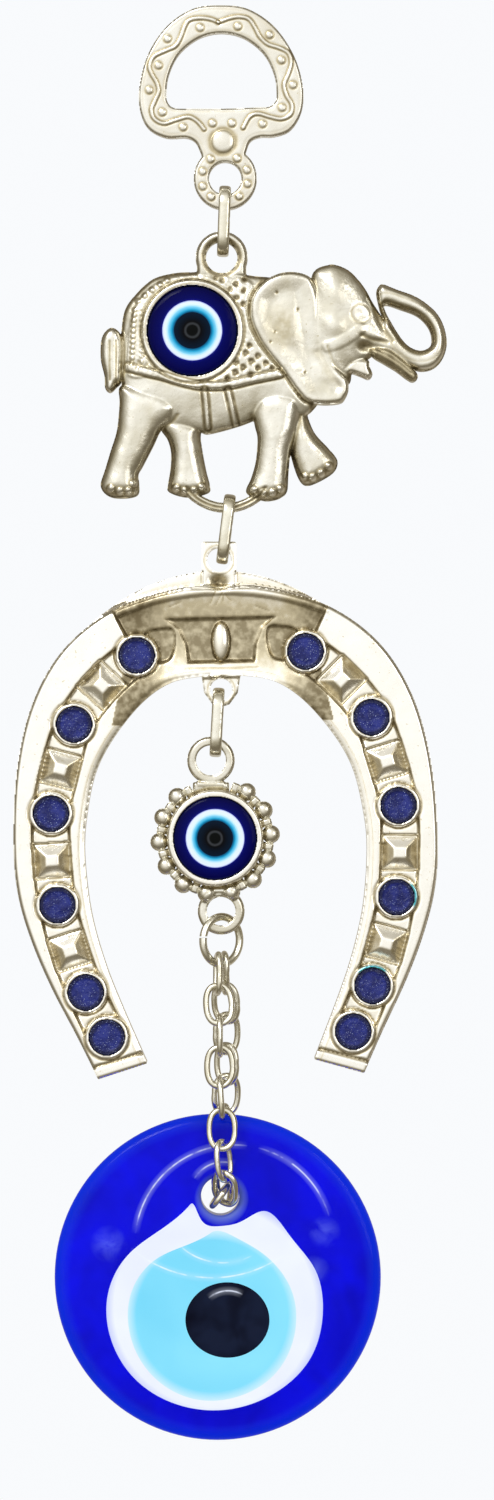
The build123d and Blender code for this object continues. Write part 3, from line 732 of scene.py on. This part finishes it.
    # Ear with a rim and a shallow hollow
    ear = g.area([
        (4.6, -44), (4.7, -41), (6.3, -38.6), (8.5, -37.2), (11, -36.8), (13.4, -37.4), (14.3, -38.6),
        (14.9, -40.6), (15.2, -43), (15.7, -46), (16.3, -48.6), (17.4, -51.2), (19.3, -53.3), (19.6, -54.8),
        (19.2, -56), (18.3, -56.9), (15.5, -57.1), (13.2, -56.6), (11.5, -54.8), (9.5, -52), (7.5, -49.5),
        (5.8, -47)], margin=5.0)
    g.groove(np.where((ear > 0) & (g.X < 13.2), ear, 9), 0.4, 0.4, stain_and_shade=0.75)
    g.groove(np.where((ear > 0) & (g.X >= 13.2) & (g.Z < -48), ear, 9), 0.3, 0.15, stain_and_shade=0.3)
    sink = 0.55 * unit((g.X - 11) / 4) * unit((g.Z + 53) / 5)
    g.raise_area(ear, 2.55 - sink, edge=0.9, drop=0.6)
    scoop = unit((-ear - 0.7) / 2.6)
    g.height -= 0.40 * ease(scoop)
    g.height += 0.25 * np.exp(-((g.X - 10.4) / 2.6) ** 2 - ((g.Z + 45) / 4) ** 2) * (ear < 0)
    worn = 0.34 * np.exp(-((g.X - 9.6) / 2.4) ** 2 - ((g.Z + 45.4) / 3.6) ** 2)
    g.tint(ear < 0, worn)
    g.groove(g.path([(15, -49.2), (16.6, -52.2), (18, -54.4)]), 0.7, 0.25, 0.15)
    for x, z in [(7.6, -47.6), (8.3, -46), (8.6, -40), (11.8, -42.6), (12.9, -52.2)]:
        g.groove(g.dist(x, z), 0.2, 0.2, stain_and_shade=1.0)
    # Blanket, hem and straps
    cloth = g.area([
        (-14.6, -52.4), (-11, -53.2), (-9, -53.6), (-6, -54.4), (-3, -54.9), (1, -54.8), (5, -54),
        (9.6, -53.2), (9, -51.6), (7, -49.2), (5.4, -47), (4.2, -44.2), (4.2, -41), (5, -38.6),
        (2, -37), (-4, -36.9), (-9, -37.9), (-12.6, -40.8), (-14.2, -45.4)])
    free = cloth + np.where(ear < 0.25, 9, 0)
    g.height += 0.22 * unit(-free / 0.35)
    weave = np.sin(g.X * 5.2 + g.Z * 2.6) * np.sin(g.X * 1.3 - g.Z * 5.6)
    g.height -= 0.07 * np.where(free < -0.4, unit(weave), 0)
    hem = g.path([
        (-14.3, -51.4), (-11, -52.3), (-9, -52.8), (-6, -53.7), (-3, -54.3), (1, -54.2), (5, -53.3),
        (9.2, -52.4)])
    hem = hem + np.where(ear < 0.25, 9, 0)
    g.groove(hem - 0.75, 0.16, 0.16, stain_and_shade=0.8)
    g.ridge(hem, 0.62, 0.22)
    for x0, z0, x1, z1 in [(-2.5, -55, -2, -60.6), (1.1, -55, 2.3, -60.2)]:
        d = g.path([(x0, z0), (x1, z1)], smooth=False)
        g.groove(d - 0.52, 0.2, 0.22, stain_and_shade=0.95)
        g.ridge(d, 0.42, 0.1)
    for x, z in [(-8.3, -38), (-9.4, -38.7), (-10.6, -39.5), (-11.7, -40.4), (-12.8, -41.2)]:
        g.bead(x, z, 0.42, 0.2)
    for step in range(11):
        g.bead(-13.3 - 0.04 * step, -42.6 - 0.82 * step, 0.36, 0.16)
        g.bead(-12.2, -42.4 - 0.82 * step, 0.3, 0.12, ring=0.4)
    for x, z, r in [
        (3.8, -49.3, .5), (4.7, -50.6, .5), (3.4, -51.5, .5), (5.7, -51.6, .42), (6.9, -50.9, .42),
        (5.7, -49.8, .42), (2.2, -52.3, .5), (1, -53.2, .45), (4.4, -48.2, .4), (2.3, -38.6, .42),
        (2.4, -40.8, .42), (1.4, -39.5, .42), (0.2, -38, .42), (3.5, -39.6, .35), (3.4, -41.8, .35),
        (-0.8, -37.6, .35), (7.9, -51.6, .35), (4.6, -52.6, .35), (2.4, -50.8, .38), (3.6, -37.9, .35)]:
        d = g.dist(x, z)
        g.groove(d - r * 0.5, 0.26, 0.26, stain_and_shade=1.0)
    for x, z in [(-12.6, -50.6), (-11.3, -51), (-10.2, -51.6), (-9, -52), (-12.9, -51.6), (-11.8, -49.6)]:
        g.groove(g.dist(x, z), 0.3, 0.2, stain_and_shade=0.45)
    tail = g.area([
        (-17, -45.3), (-15.6, -46), (-15.1, -48), (-15.2, -51.5), (-15.4, -53.6), (-16.1, -54.4),
        (-17, -55.2), (-17.8, -54.6), (-17.9, -52.8), (-18.5, -50), (-18.3, -46.8)])
    g.raise_area(tail, 1.7, edge=1.3, drop=1.2)
    g.groove(tail - 0.1, 0.22, 0.1, 0.4)
    for x in (-17.1, -16.1):
        g.groove(g.path([(x, -47.4), (x, -53.4)], smooth=False), 0.18, 0.14, stain_and_shade=0.45)
    g.groove(g.dist(-16, -53.9), 0.5, 0.3, stain_and_shade=1.0)
    # Cup of the glass bead
    bx, bz, br = middle("elephant_eye_blue")
    g.raise_area(g.circle(bx, bz, br + 1.1), 2.35, edge=0.5, drop=0.45)
    ring = g.dist(bx, bz)
    g.groove(ring - br - 1.2, 0.22, 0.25, stain_and_shade=0.7)
    g.groove(ring - br - 0.42, 0.16, 0.14, stain_and_shade=0.3)
    g.sink_area(g.circle(bx, bz, br + 0.02), -0.75, wall=0.1)
    # Top lug and the bottom arc
    panel = g.box(0.1, -35.9, 7.6, 3.4, corner=0.3)
    lug = np.minimum(g.circle(0.10, -34.45, 4), panel)
    g.raise_area(lug, 1.2, edge=0.9, drop=0.55)
    g.cut(g.circle(0.10, -34.45, 2.43))
    g.groove(g.circle(0.10, -34.45, 2.8), 0.32, 0.22, stain_and_shade=0.7)
    arc = g.circle(0.77, -65.4, 7.55)
    g.raise_area(np.maximum(np.abs(arc) - 0.75, g.Z + 69.6), 0.8, edge=0.5)
    g.groove(np.where(g.Z < -69.8, arc, 9), 0.2, 0.25, stain_and_shade=0.9)
    g.cut(loop)
    g.tint(g.height < 0.9, 0.12)

    def back(x, z):
        thin = np.where(z > -36.4, 1.2, 1.6)
        on_arc = (z < -71.9) | ((np.abs(x - 0.77) < 2.6) & (z < -69))
        return np.where(on_arc, 0.8, thin)
    return g.mesh("elephant_body", back, soften=0.8, rim=0.6, rim_drop=0.62)


def turned(points, side=1):
    """Horseshoe points (half width, depth under its hole) in the frame."""
    angle = math.radians(-1.35)
    out = []
    for x, depth in points:
        x, z = side * x, -depth
        out.append((-0.30 + x * math.cos(angle) + z * math.sin(angle),
                    -81.0 + z * math.cos(angle) - x * math.sin(angle)))
    return out


SHOE_CENTRES = [
    (12.95, 14.4), (18.4, 18.9), (22.8, 24.75), (25.1, 31.55), (26.66, 38.35), (26.7, 45.6), (26, 52.4),
    (24.3, 59.5), (22, 65.9), (18.9, 72.85)]
CUPS = (0, 2, 4, 6, 8, 9)


def horseshoe():
    g = Relief((-33.8, -162), (33.4, -77.4), 0.175)
    rim_out = [
        (5.2, 4.2), (10.3, 5.3), (16.7, 7.5), (22.6, 11.6), (26.9, 16.9), (30.1, 24), (32, 33), (32.6, 43.5),
        (32, 51), (30.1, 58), (27.2, 65.2), (23.4, 72.9)]
    rim_in = [
        (3, 17.8), (7.9, 18.7), (12.4, 21.7), (16.8, 26.9), (19.7, 32.2), (21.2, 38.6), (21.7, 44.8),
        (20.9, 53.5), (19, 61.2), (16.5, 68.1)]

    def whole(points, ends):
        """A closed outline from a right half, with the given points at its open end."""
        right = curve_points(turned(points + ends[:1]), closed=False)
        left = curve_points(turned(points + ends[:1], -1), closed=False)
        return np.concatenate([left[::-1], right, turned(ends[1:]), turned(ends[1:], -1)[::-1]])
    outer = g.area(whole(rim_out, [(20.4, 79.3), (12.8, 77), (12, 76.8)]), smooth=False)
    inner = g.area(whole([(0.05, 17.7)] + rim_in, [(12.8, 77.1), (11, 84)]), smooth=False)
    heel_cut = g.area(turned([
        (-40, 95), (40, 95), (40, 85), (20.4, 79.3), (12.8, 77.1), (5, 74.9), (-5, 74.9), (-12.8, 77.1),
        (-20.4, 79.3), (-40, 85)]), smooth=False)
    face = np.maximum(np.maximum(outer, -inner), -heel_cut)
    g.outline = np.minimum(g.outline, face)
    outward, inward = unit(1 + outer / 0.5), unit(1 - inner / 0.85)
    fall = np.maximum(outward, inward)
    g.height = np.where(face < 0.3, 2.4 - 0.55 * outward ** 1.6 - 0.26 * inward, g.height)
    g.tint((fall > 0.04) & (fall < 0.98), 0.05)
    g.groove(np.where(face < 0.1, inner - 0.9, 9), 0.13, 0.02, stain_and_shade=0.3)
    # Toe: a hollow sweep between two radial lines
    across = np.array(turned([(0, 0)]))[0]
    px, pz = g.X - across[0], g.Z - across[1]
    toe = g.area(turned([
        (-16.8, 7.2), (-14.2, 12.4), (-17, 25), (17, 25), (14.2, 12.4), (16.8, 7.2), (10.3, 0),
        (-10.3, 0)]), smooth=False)
    top_edge = -3.9 - 0.0125 * px ** 2
    low_edge = -17.3 - 0.014 * px ** 2
    t = unit((top_edge - pz) / (top_edge - low_edge))
    sweep = 0.30 + 1.05 * np.sin(np.pi * t) ** 0.8
    fade = unit((15.5 - np.abs(px)) / 7.5)
    fade = np.where(pz > -13.5, 1, ease(fade))
    deep = np.where(toe < 0, unit(-toe / 0.3) * sweep * fade, 0)
    g.height -= np.where(fall < 0.9, deep, 0)
    # Darker along the middle of the hollow sweep
    g.stain_and_shade = np.maximum(g.stain_and_shade, np.where(toe < -0.1, 0.60 * fade * np.sin(np.pi * t), 0))
    for side in (-1, 1):
        line = g.path(turned([(16.6, 7.2), (14.2, 12.2)], side), smooth=False)
        g.groove(line, 0.16, 0.05, stain_and_shade=0.4)
    top_line = g.path(turned([(-16, 8.1), (-10.5, 6.2), (-5.2, 5.2), (0, 4.9), (5.2, 5.2), (10.5, 6.2),
                              (16, 8.1)]))
    g.ridge(top_line, 0.5, 0.22)
    for scratch in ([
        (-1.6, -87.6), (-0.9, -85.9)], [(-0.8, -87.9), (0.2, -86), (0.4, -87.4)], [(0.7, -86.3),
        (1.5, -87.3)], [(5.3, -88.1), (7.4, -88.9)], [(-7.9, -88.2), (-6.2, -87.5)]):
        g.groove(g.path(scratch, smooth=False), 0.1, 0.06, stain_and_shade=0.6)
    # Panel with the oval boss
    panel = g.area(turned([
        (-8.4, 8.9), (8.4, 8.9), (6.4, 10.6), (5.4, 13), (5.1, 15.7), (-5.1, 15.7), (-5.4, 13),
        (-6.4, 10.6)]), smooth=False)
    g.groove(panel, 0.2, 0.1, stain_and_shade=1.0)
    g.sink_area(panel, 0.75, wall=0.35)
    # The toe grows darker towards both ends
    sides = unit((np.abs(g.X - 1) - 5) / 9)
    g.tint((toe < 0) & (face < 0), 0.8 * ease(sides))
    g.tint(panel < 0, 0.74)
    g.groove(g.path(turned([(-5.6, 16.6), (5.6, 16.6)]), smooth=False), 0.14, 0.08, 0.55)
    bx, bz = turned([(0, 12.5)])[0]
    boss = np.sqrt(((g.X - bx) / 1.5) ** 2 + ((g.Z - bz) / 3.1) ** 2)
    g.height += 1.0 * np.sqrt(unit(1 - boss ** 2))
    g.groove(np.abs(boss - 1) * 1.6, 0.22, 0.1, stain_and_shade=1.0)
    g.stain_and_shade = np.where(boss < 0.85, 0.12, g.stain_and_shade)
    # Channel, lands, pyramids and cups
    for side in (-1, 1):
        dots = turned(SHOE_CENTRES, side)
        lane = g.path(dots, margin=6.0) - 2.92
        before = side * (g.X - dots[0][0]) < 0.4 * (g.Z - dots[0][1])
        past = side * (g.X - dots[-1][0]) * 0.5 + (g.Z - dots[-1][1]) < 0
        lane = np.where(before | past, 9, lane)
        g.groove(lane, 0.17, 0.06, stain_and_shade=0.85)
        g.sink_area(lane, 1.72, wall=0.25)
        g.tint(lane < -0.1, 0.12)
        for k, (x, z) in enumerate(dots):
            if k in CUPS:
                continue
            (x0, z0), (x1, z1) = dots[k - 1], dots[k + 1]
            tilt = math.degrees(math.atan2(x1 - x0, z0 - z1))
            square = g.box(x, z, 5.7, 5.4, turn=tilt)
            inside = unit(-square / 1.95)
            g.height = np.where(square < 0, 1.05 + 1.3 * inside, g.height)
            g.stain_and_shade = np.where(square < -0.05, 0.04 + 0.14 * (inside < 0.12), g.stain_and_shade)
            g.groove(square, 0.13, 0.05, stain_and_shade=0.7)
            # Painted shade: the left and right facets of each pyramid are darkened
            c, s = math.cos(math.radians(tilt)), math.sin(math.radians(tilt))
            u, v = (g.X - x) * c + (g.Z - z) * s, (g.Z - z) * c - (g.X - x) * s
            shade = np.where((square < 0) & (np.abs(u) > np.abs(v)), 0.34, 0)
            g.stain_and_shade = np.maximum(g.stain_and_shade, shade * (inside < 0.97))
        pocket = g.area(turned([(7.2, 10.6), (9.2, 10.3), (11.8, 11.2), (12, 15.2), (8.4, 15.5),
                                (7.2, 13.6)], side))
        g.groove(pocket, 0.18, 0.1, stain_and_shade=1.0)
        g.sink_area(pocket, 0.75, wall=0.3)
        g.tint(pocket < 0, 0.74)
    for side, word in ((-1, "left"), (1, "right")):
        for number in range(1, 7):
            x, z, r = middle(f"enamel_{word}_{number}")
            g.raise_area(g.circle(x, z, r + 0.68), 2.62, edge=0.22, drop=0.14)
            g.stain_and_shade = np.where(g.circle(x, z, r + 0.68) < 0, 0, g.stain_and_shade)
            d = g.dist(x, z)
            g.groove(d - r - 0.86, 0.17, 0.15, stain_and_shade=0.75)
            g.sink_area(g.circle(x, z, r - 0.02), 1, wall=0.08)
    # Heel strips
    for side in (-1, 1):
        line = g.path(turned([(21, 77.45), (13.3, 75.25)], side), smooth=False)
        g.groove(line, 0.2, 0.35, stain_and_shade=0.9)
        edge = g.path(turned([(20.4, 79.3), (12.8, 77.1)], side), smooth=False)
        lip = unit(1 - edge / 0.45)
        g.height = np.where((face < 0.2) & (edge < 1.6), 2.45 - 0.5 * lip * lip, g.height)
    # Flange behind the toe and the two lugs
    flange = np.sqrt((px / 31.8) ** 2 + ((pz + 40) / 38.4) ** 2) - 1
    flange = np.maximum(flange * 35, -(g.Z + 110.5))
    flange = np.maximum(flange, -inner)
    g.raise_area(np.maximum(flange, -face), -0.85)
    lug = g.box(-0.3, -82.6, 5.3, 8.9, turn=0, corner=0.4)
    lug = np.where(g.Z > -85.6, lug, 9)
    g.raise_area(lug, 1.1)
    g.cut(g.circle(-0.3, -81, 1.85))
    g.groove(g.dist(-0.28, -84.4), 1.15, 0.9, stain_and_shade=1.0)
    tip = g.area([(-3.1, -98), (3.1, -98), (2.6, -101.4), (1.3, -103.2), (0, -103.6), (-1.3, -103.2),
                  (-2.6, -101.4)], smooth=False)
    g.raise_area(np.maximum(tip, -face), 1.1, edge=0.5, drop=0.3)
    g.cut(g.circle(0.03, -100.93, 1.7))
    for x, z, r in ((-0.3, -81, 2.3), (0.03, -100.93, 2.1)):
        g.groove(g.dist(x, z) - r, 0.14, 0.05, 0.4)

    def back(x, z):
        on_lug = (z < -98.2) & (np.abs(x) < 3.4) & (z > -104)
        on_top = (z > -84.2) & (np.abs(x + 0.3) < 2.9) & (flange_at(x, z) > 0)
        return np.where(on_lug | on_top, 1.1, 2.4)

    def flange_at(x, z):
        return np.sqrt(((x - across[0]) / 31.8) ** 2 + ((z - across[1] + 40) / 38.4) ** 2) - 1
    return g.mesh("horseshoe_casting", back, soften=0.6, rim=0.3, rim_drop=0.2, hollow=0.25)


def medallion():
    x0, z0, br = middle("medallion_eye_blue")
    g = Relief((-12, -139.4), (10.2, -107.4), 0.11)
    count, out, r = 14, 8.6, 1.38       # beads, their distance from the centre, their radius
    for k in range(count):
        angle, middle_angle = (math.radians(4 + 360 / count * (k + part)) for part in (0, 0.5))
        x, z = x0 + out * math.cos(angle), z0 + out * math.sin(angle)
        if abs(math.degrees(angle) - 90) > 20 and abs(math.degrees(angle) - 274) > 9:
            ball = g.circle(x, z, r)
            g.outline = np.minimum(g.outline, ball)
            dome = 0.9 * np.sqrt(np.clip(r ** 2 - (ball + r) ** 2, 0, None)) + 0.5
            g.height = np.where(ball < 0, np.maximum(g.height, dome), g.height)
        lx, lz = x0 + 8.1 * math.cos(middle_angle), z0 + 8.1 * math.sin(middle_angle)
        link = g.box(lx, lz, 1.9, 1.2, turn=math.degrees(middle_angle), corner=0.2)
        g.raise_area(link, 0.95)
    for x, z, r, hole, half, toward in ((-1.54, -111.8, 3.65, 2.3, 1, -1), (0.03, -135, 3.6, 2.2, 0.6, 1)):
        neck = g.box(x, z + toward * (r + 0.6), 5.6, 1.8, corner=0.3)
        loop = g.circle(x, z, r)
        g.raise_area(np.minimum(loop, neck), half, edge=0.65, drop=0.5)
        g.groove(g.circle(x, z, (r + hole) / 2 + 0.7), 0.14, 0.05, 0.2)
        g.cut(g.circle(x, z, hole))
    for x, z, wide in ((-1.6, -115.5, 4.6), (0, -131.75, 5)):
        bar = g.box(x, z, wide, 1.1, corner=0.4)
        g.raise_area(bar, 1.1, edge=0.5, drop=0.45)
    rim = g.circle(x0, z0, br + 1.15)
    g.raise_area(rim, 2.25, edge=0.5, drop=0.55)
    g.groove(rim - 0.14, 0.22, 0.2, stain_and_shade=0.5)
    g.sink_area(g.circle(x0, z0, br + 0.02), -0.35, wall=0.08)

    def back(x, z):
        return np.where(z < -132.6, 0.55, np.where(z > -114.6, 0.95, 0.9))
    return g.mesh("medallion_casting", back, soften=0.7, rim=0.3, rim_drop=0.25, hollow=0.15)


def domed_ring(name, x, z, inner, outer, bead, back, front, crown, material, node, segments=96, steps=7):
    """One colour layer of an eye: a ring whose face follows the dome of the whole bead."""
    profile = [(r, -(front + crown * (1 - (r / bead) ** 2))) for r in np.linspace(inner, outer, steps)]
    if outer > bead - 0.01:
        profile[-1] = (outer - 0.02, profile[-1][1] + 0.12)
    work = bmesh.new()
    rings = []
    for r, y in profile + [(outer, back), (inner, back)]:
        if r < 1e-6:
            rings.append([work.verts.new((x * MM, y * MM, z * MM))] * segments)
            continue
        turns = np.arange(segments) * 2 * math.pi / segments
        rings.append([work.verts.new(((x + r * math.cos(a)) * MM, y * MM, (z + r * math.sin(a)) * MM))
                      for a in turns])
    skin(work, rings)
    stand_for(solid(work, name, 40), node, material)


for build, node, material in ((hanger, "hanger", PLATE), (elephant, "elephant", SILVER),
                              (horseshoe, "horseshoe", BRIGHT), (medallion, "medallion", SILVER)):
    stand_for(build(), node, material)


def strip_ring(node, top, low, wide=6.2, thick=1.0, strip=1.8, gap=0.25, sides=28, steps=120):
    """Oval split ring with a softly rounded section, between two points in X and Z."""
    lean = math.atan2(top[0] - low[0], top[1] - low[1])
    bend, half = (wide - thick) / 2, (math.dist(top, low) - wide) / 2
    total, start = 4 * half + 2 * math.pi * bend, half + 0.6

    def along(s):
        """Middle of the strip and its outward direction at a length round the ring (Y, Z)."""
        flip = 1 if s % total < total / 2 else -1
        s %= total / 2
        a = max(s - 2 * half, 0) / bend
        c, n = flip * math.cos(a), flip * math.sin(a)
        return bend * c, flip * (min(s, 2 * half) - half) + bend * n, c, n
    section = []
    for a in np.arange(sides) * 2 * math.pi / sides:
        c, n = math.cos(a), math.sin(a)
        section.append((math.copysign(abs(c) ** 0.62, c) * strip / 2,
                        math.copysign(abs(n) ** 0.75, n) * thick / 2))
    work = bmesh.new()
    loops = []
    for k in range(steps + 1):
        shrink = (0.55, 0.86, 1.0)[min(k, steps - k, 2)]
        y, z, ny, nz = along(start + gap / 2 + (total - gap) * min(max((k - 1) / (steps - 2), 0), 1))
        loop = []
        for u, v in section:
            u, v = u * shrink, v * shrink
            px = u * math.cos(lean) + (z + nz * v) * math.sin(lean) + (top[0] + low[0]) / 2
            pz = (z + nz * v) * math.cos(lean) - u * math.sin(lean) + (top[1] + low[1]) / 2
            loop.append(work.verts.new((px * MM, (y + ny * v) * MM, pz * MM)))
        loops.append(loop)
    skin(work, loops, closed=False)
    work.faces.new(loops[0])
    work.faces.new(loops[-1][::-1])
    stand_for(solid(work, node + "_strip"), node, WIRE)


def wire_link(node, power, wire=1.0, sides=20, steps=80):
    """Rounded oval of wire in the place of a chain link, laid along the link's own axes."""
    source = NODES[node]
    spots = np.array([source.matrix_world @ v.co for v in source.data.vertices]) / MM
    centre = (spots.max(0) + spots.min(0)) / 2
    axes = np.linalg.svd(spots - spots.mean(0), full_matrices=False)[2]
    local = (spots - centre) @ axes.T
    centre = centre + axes.T @ ((local.max(0) + local.min(0)) / 2)
    long, wide = (np.ptp(local[:, 0]) - wire) / 2, (np.ptp(local[:, 1]) - wire) / 2
    a = np.linspace(0, 2 * math.pi, steps, endpoint=False)
    line = np.stack([size * np.sign(way) * np.abs(way) ** power
                     for size, way in ((long, np.cos(a)), (wide, np.sin(a)))], 1)
    run = np.roll(line, -1, 0) - np.roll(line, 1, 0)
    run /= np.linalg.norm(run, axis=1)[:, None]
    outward = np.stack([run[:, 1], -run[:, 0]], 1)
    work = bmesh.new()
    loops = []
    for k in range(steps):
        # The wire's ends meet, a little thinner, a quarter of the way round
        thick = 0.47 * wire * (1 - 0.12 * math.exp(-(((k - 0.26 * steps) / 1.2) ** 2)))
        loop = []
        for b in np.arange(sides) * 2 * math.pi / sides:
            flat = line[k] + outward[k] * thick * math.cos(b)
            spot = centre + axes[0] * flat[0] + axes[1] * flat[1] + axes[2] * thick * math.sin(b)
            loop.append(work.verts.new(tuple(spot * MM)))
        loops.append(loop)
    skin(work, loops)
    stand_for(solid(work, node + "_wire"), node, WIRE)


for node in [name for name in NODES if "link" in name]:
    wire_link(node, 0.7 if node.endswith("link_1") else 0.84)
strip_ring("upper_ring", (0.66, -23.38), (0.26, -34.35))
strip_ring("middle_ring", (1.45, -70.85), (0.10, -81.62))
strip_ring("lower_ring", (-0.30, -100.60), (-0.90, -111.30))

LAYERS = ("blue", "white", "light_blue", "pupil")
for prefix, label, crown in (("elephant_eye", "big_eye", 0.75), ("medallion_eye", "small_eye", 0.6)):
    mats = eye_materials(prefix, label)
    x, z, bead = middle(f"{prefix}_blue")
    radii = [middle(f"{prefix}_{layer}")[2] for layer in LAYERS] + [0.0]
    low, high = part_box(f"{prefix}_blue")
    front = -low.y / MM
    for k, layer in enumerate(LAYERS):
        # The blue runs to the back of the cup, the other colours are a millimetre deep
        domed_ring(f"{label}_{layer}", x, z, radii[k + 1], radii[k], bead, 1.0 - front if k else high.y / MM,
                   front - crown, crown, mats[layer], f"{prefix}_{layer}")

ENAMEL = enamel()
GLASS = {
    "glass_body": glass("glass_cobalt", (0.0, 0.0, 0.44), (0.0, 0.001, 0.76), 0.12, rim=(0.004, 0.03, 0.66)),
    "glass_white": glass("glass_milk", (0.70, 0.73, 0.88), (0.77, 0.80, 0.90), 0.0, cloud=12.0,
                         border=("glass_white", [(0.93, 1.03, (0.42, 0.46, 0.84))])),
    "glass_light_blue": glass("glass_sky", (0.17, 0.60, 0.80), (0.24, 0.68, 0.85), 0.0, cloud=14.0,
                              border=("glass_light_blue", [(0.90, 1.02, (0.55, 0.76, 0.87))])),
    "glass_pupil": glass("glass_dark", (0.0, 0.0, 0.004), (0.006, 0.010, 0.028), 0.0, cloud=5.0),
}
for node, material in GLASS.items():
    paint(NODES[node], material)
for node in NODES:
    if node.startswith("enamel"):
        paint(NODES[node], ENAMEL)
paint(NODES["chain_ring"], WIRE)


# ---------------------------------------------------------------- studio

ROOM = 2.6                          # radius of the room, in metres
low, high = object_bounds()
heart = Vector(((low[0] + high[0]) / 2, 0, (low[2] + high[2]) / 2))


def reflect_only(item):
    """Leaves a part of the stage to show in reflections only."""
    for kind in ("camera", "diffuse", "shadow", "transmission", "volume_scatter"):
        setattr(item, "visible_" + kind, False)
    item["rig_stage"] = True


def place(item, centre, direction):
    """Puts an item at a point with its Z axis along a direction."""
    item.location = centre
    item.rotation_euler = direction.to_track_quat("Z", "Y").to_euler()


def panel(name, centre, size, brightness, tint):
    """A card turned to the ornament that only shows in reflections."""
    mesh = bpy.data.meshes.new(name)
    w, h = size[0] / 2, size[1] / 2
    mesh.from_pydata([(-w, -h, 0), (w, -h, 0), (w, h, 0), (-w, h, 0)], [], [(0, 1, 2, 3)])
    card = add_object(name, mesh)
    place(card, centre, heart - Vector(centre))
    s = Shader(name, Specular_IOR_Level=0.0, Base_Color=(0, 0, 0, 1), Emission_Color=(*tint, 1),
               Emission_Strength=brightness)
    mesh.materials.append(s.mat)
    reflect_only(card)


def shell():
    """Smooth room seen only in reflections: bright in front and above, dim at the sides."""
    work = bmesh.new()
    bmesh.ops.create_icosphere(work, subdivisions=4, radius=ROOM)
    mesh = bpy.data.meshes.new("room")
    work.to_mesh(mesh)
    work.free()
    room = add_object("room", mesh)
    room.location = heart
    s = Shader("room", Specular_IOR_Level=0.0, Base_Color=(0, 0, 0, 1), Emission_Strength=1.3)
    bright = Vector((-0.24, -0.90, 0.36))
    facing = s.node("VectorMath", {0: s.place, 1: bright / ROOM}, operation="DOT_PRODUCT")
    level = s.spread(facing.outputs["Value"], -1.0, 1.0)
    s.feed(s.bsdf.inputs["Emission Color"], s.ramp(level, [
        (0.0, (0.50, 0.47, 0.41)), (0.22, (0.28, 0.24, 0.18)), (0.45, (0.15, 0.128, 0.09)),
        (0.62, (0.185, 0.162, 0.115)), (0.77, (0.36, 0.33, 0.26)), (0.885, (0.62, 0.59, 0.52)),
        (0.955, (0.86, 0.85, 0.81)), (1.0, (1.0, 0.99, 0.96))]))
    mesh.materials.append(s.mat)
    reflect_only(room)


def light(name, centre, side, power):
    """A square softbox turned to the ornament."""
    data = bpy.data.lights.new(name, "AREA")
    data.size = side
    data.energy = power
    place(add_object(name, data), centre, Vector(centre) - heart)


world = bpy.data.worlds.new("pale")
bpy.context.scene.world = world
world.use_nodes = True
world.node_tree.nodes["Background"].inputs["Color"].default_value = (0.965, 0.98, 1.0, 1)
world.node_tree.nodes["Background"].inputs["Strength"].default_value = 0.98

mesh = bpy.data.meshes.new("floor")
ring = [(1.2 * math.cos(a), 1.2 * math.sin(a), 0) for a in np.linspace(0, 2 * math.pi, 65)[:-1]]
mesh.from_pydata(ring, [], [tuple(range(64))])
floor = add_object("floor", mesh)
floor.location = (0, 0, -0.46)
floor.visible_glossy = False
pale = Shader("floor", Roughness=0.9)
pale.colour(pale.mix(pale.noise(60.0, 2.0), (0.86, 0.87, 0.89), (0.90, 0.91, 0.93)))
mesh.materials.append(pale.mat)
floor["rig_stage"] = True

shell()
panel("spark", (-0.45, -1.15, heart.z + 0.95), (0.34, 0.20), 9.0, (1.0, 0.99, 0.96))
panel("spark_right", (0.85, -0.95, heart.z + 0.6), (0.16, 0.5), 3.5, (1.0, 0.97, 0.90))
light("key", (-0.5, -0.8, heart.z + 0.75), 0.5, 3.5)
light("fill", (0.7, -1.0, heart.z + 0.2), 0.6, 1.5)

TALL = 0.2308                       # height of the frame in the plane of the ornament
AWAY = 0.75                         # distance of the camera from that plane
bpy.context.scene.view_settings.view_transform = "Standard"
camera_data = bpy.data.cameras.new("camera")
camera_data.sensor_fit = "VERTICAL"
camera_data.sensor_height = 36.0
camera_data.lens = 36.0 * AWAY / TALL
camera_data.clip_start = 0.01
camera = add_object("camera", camera_data)
camera.location = (0.004, -AWAY, -0.1102)
camera.rotation_euler = (math.pi / 2, 0, 0)
bpy.context.scene.camera = camera

({"cad": [list(map(float, c)) for c in CAD_BOX],
           "visual": [list(map(float, c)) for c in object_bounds()]})
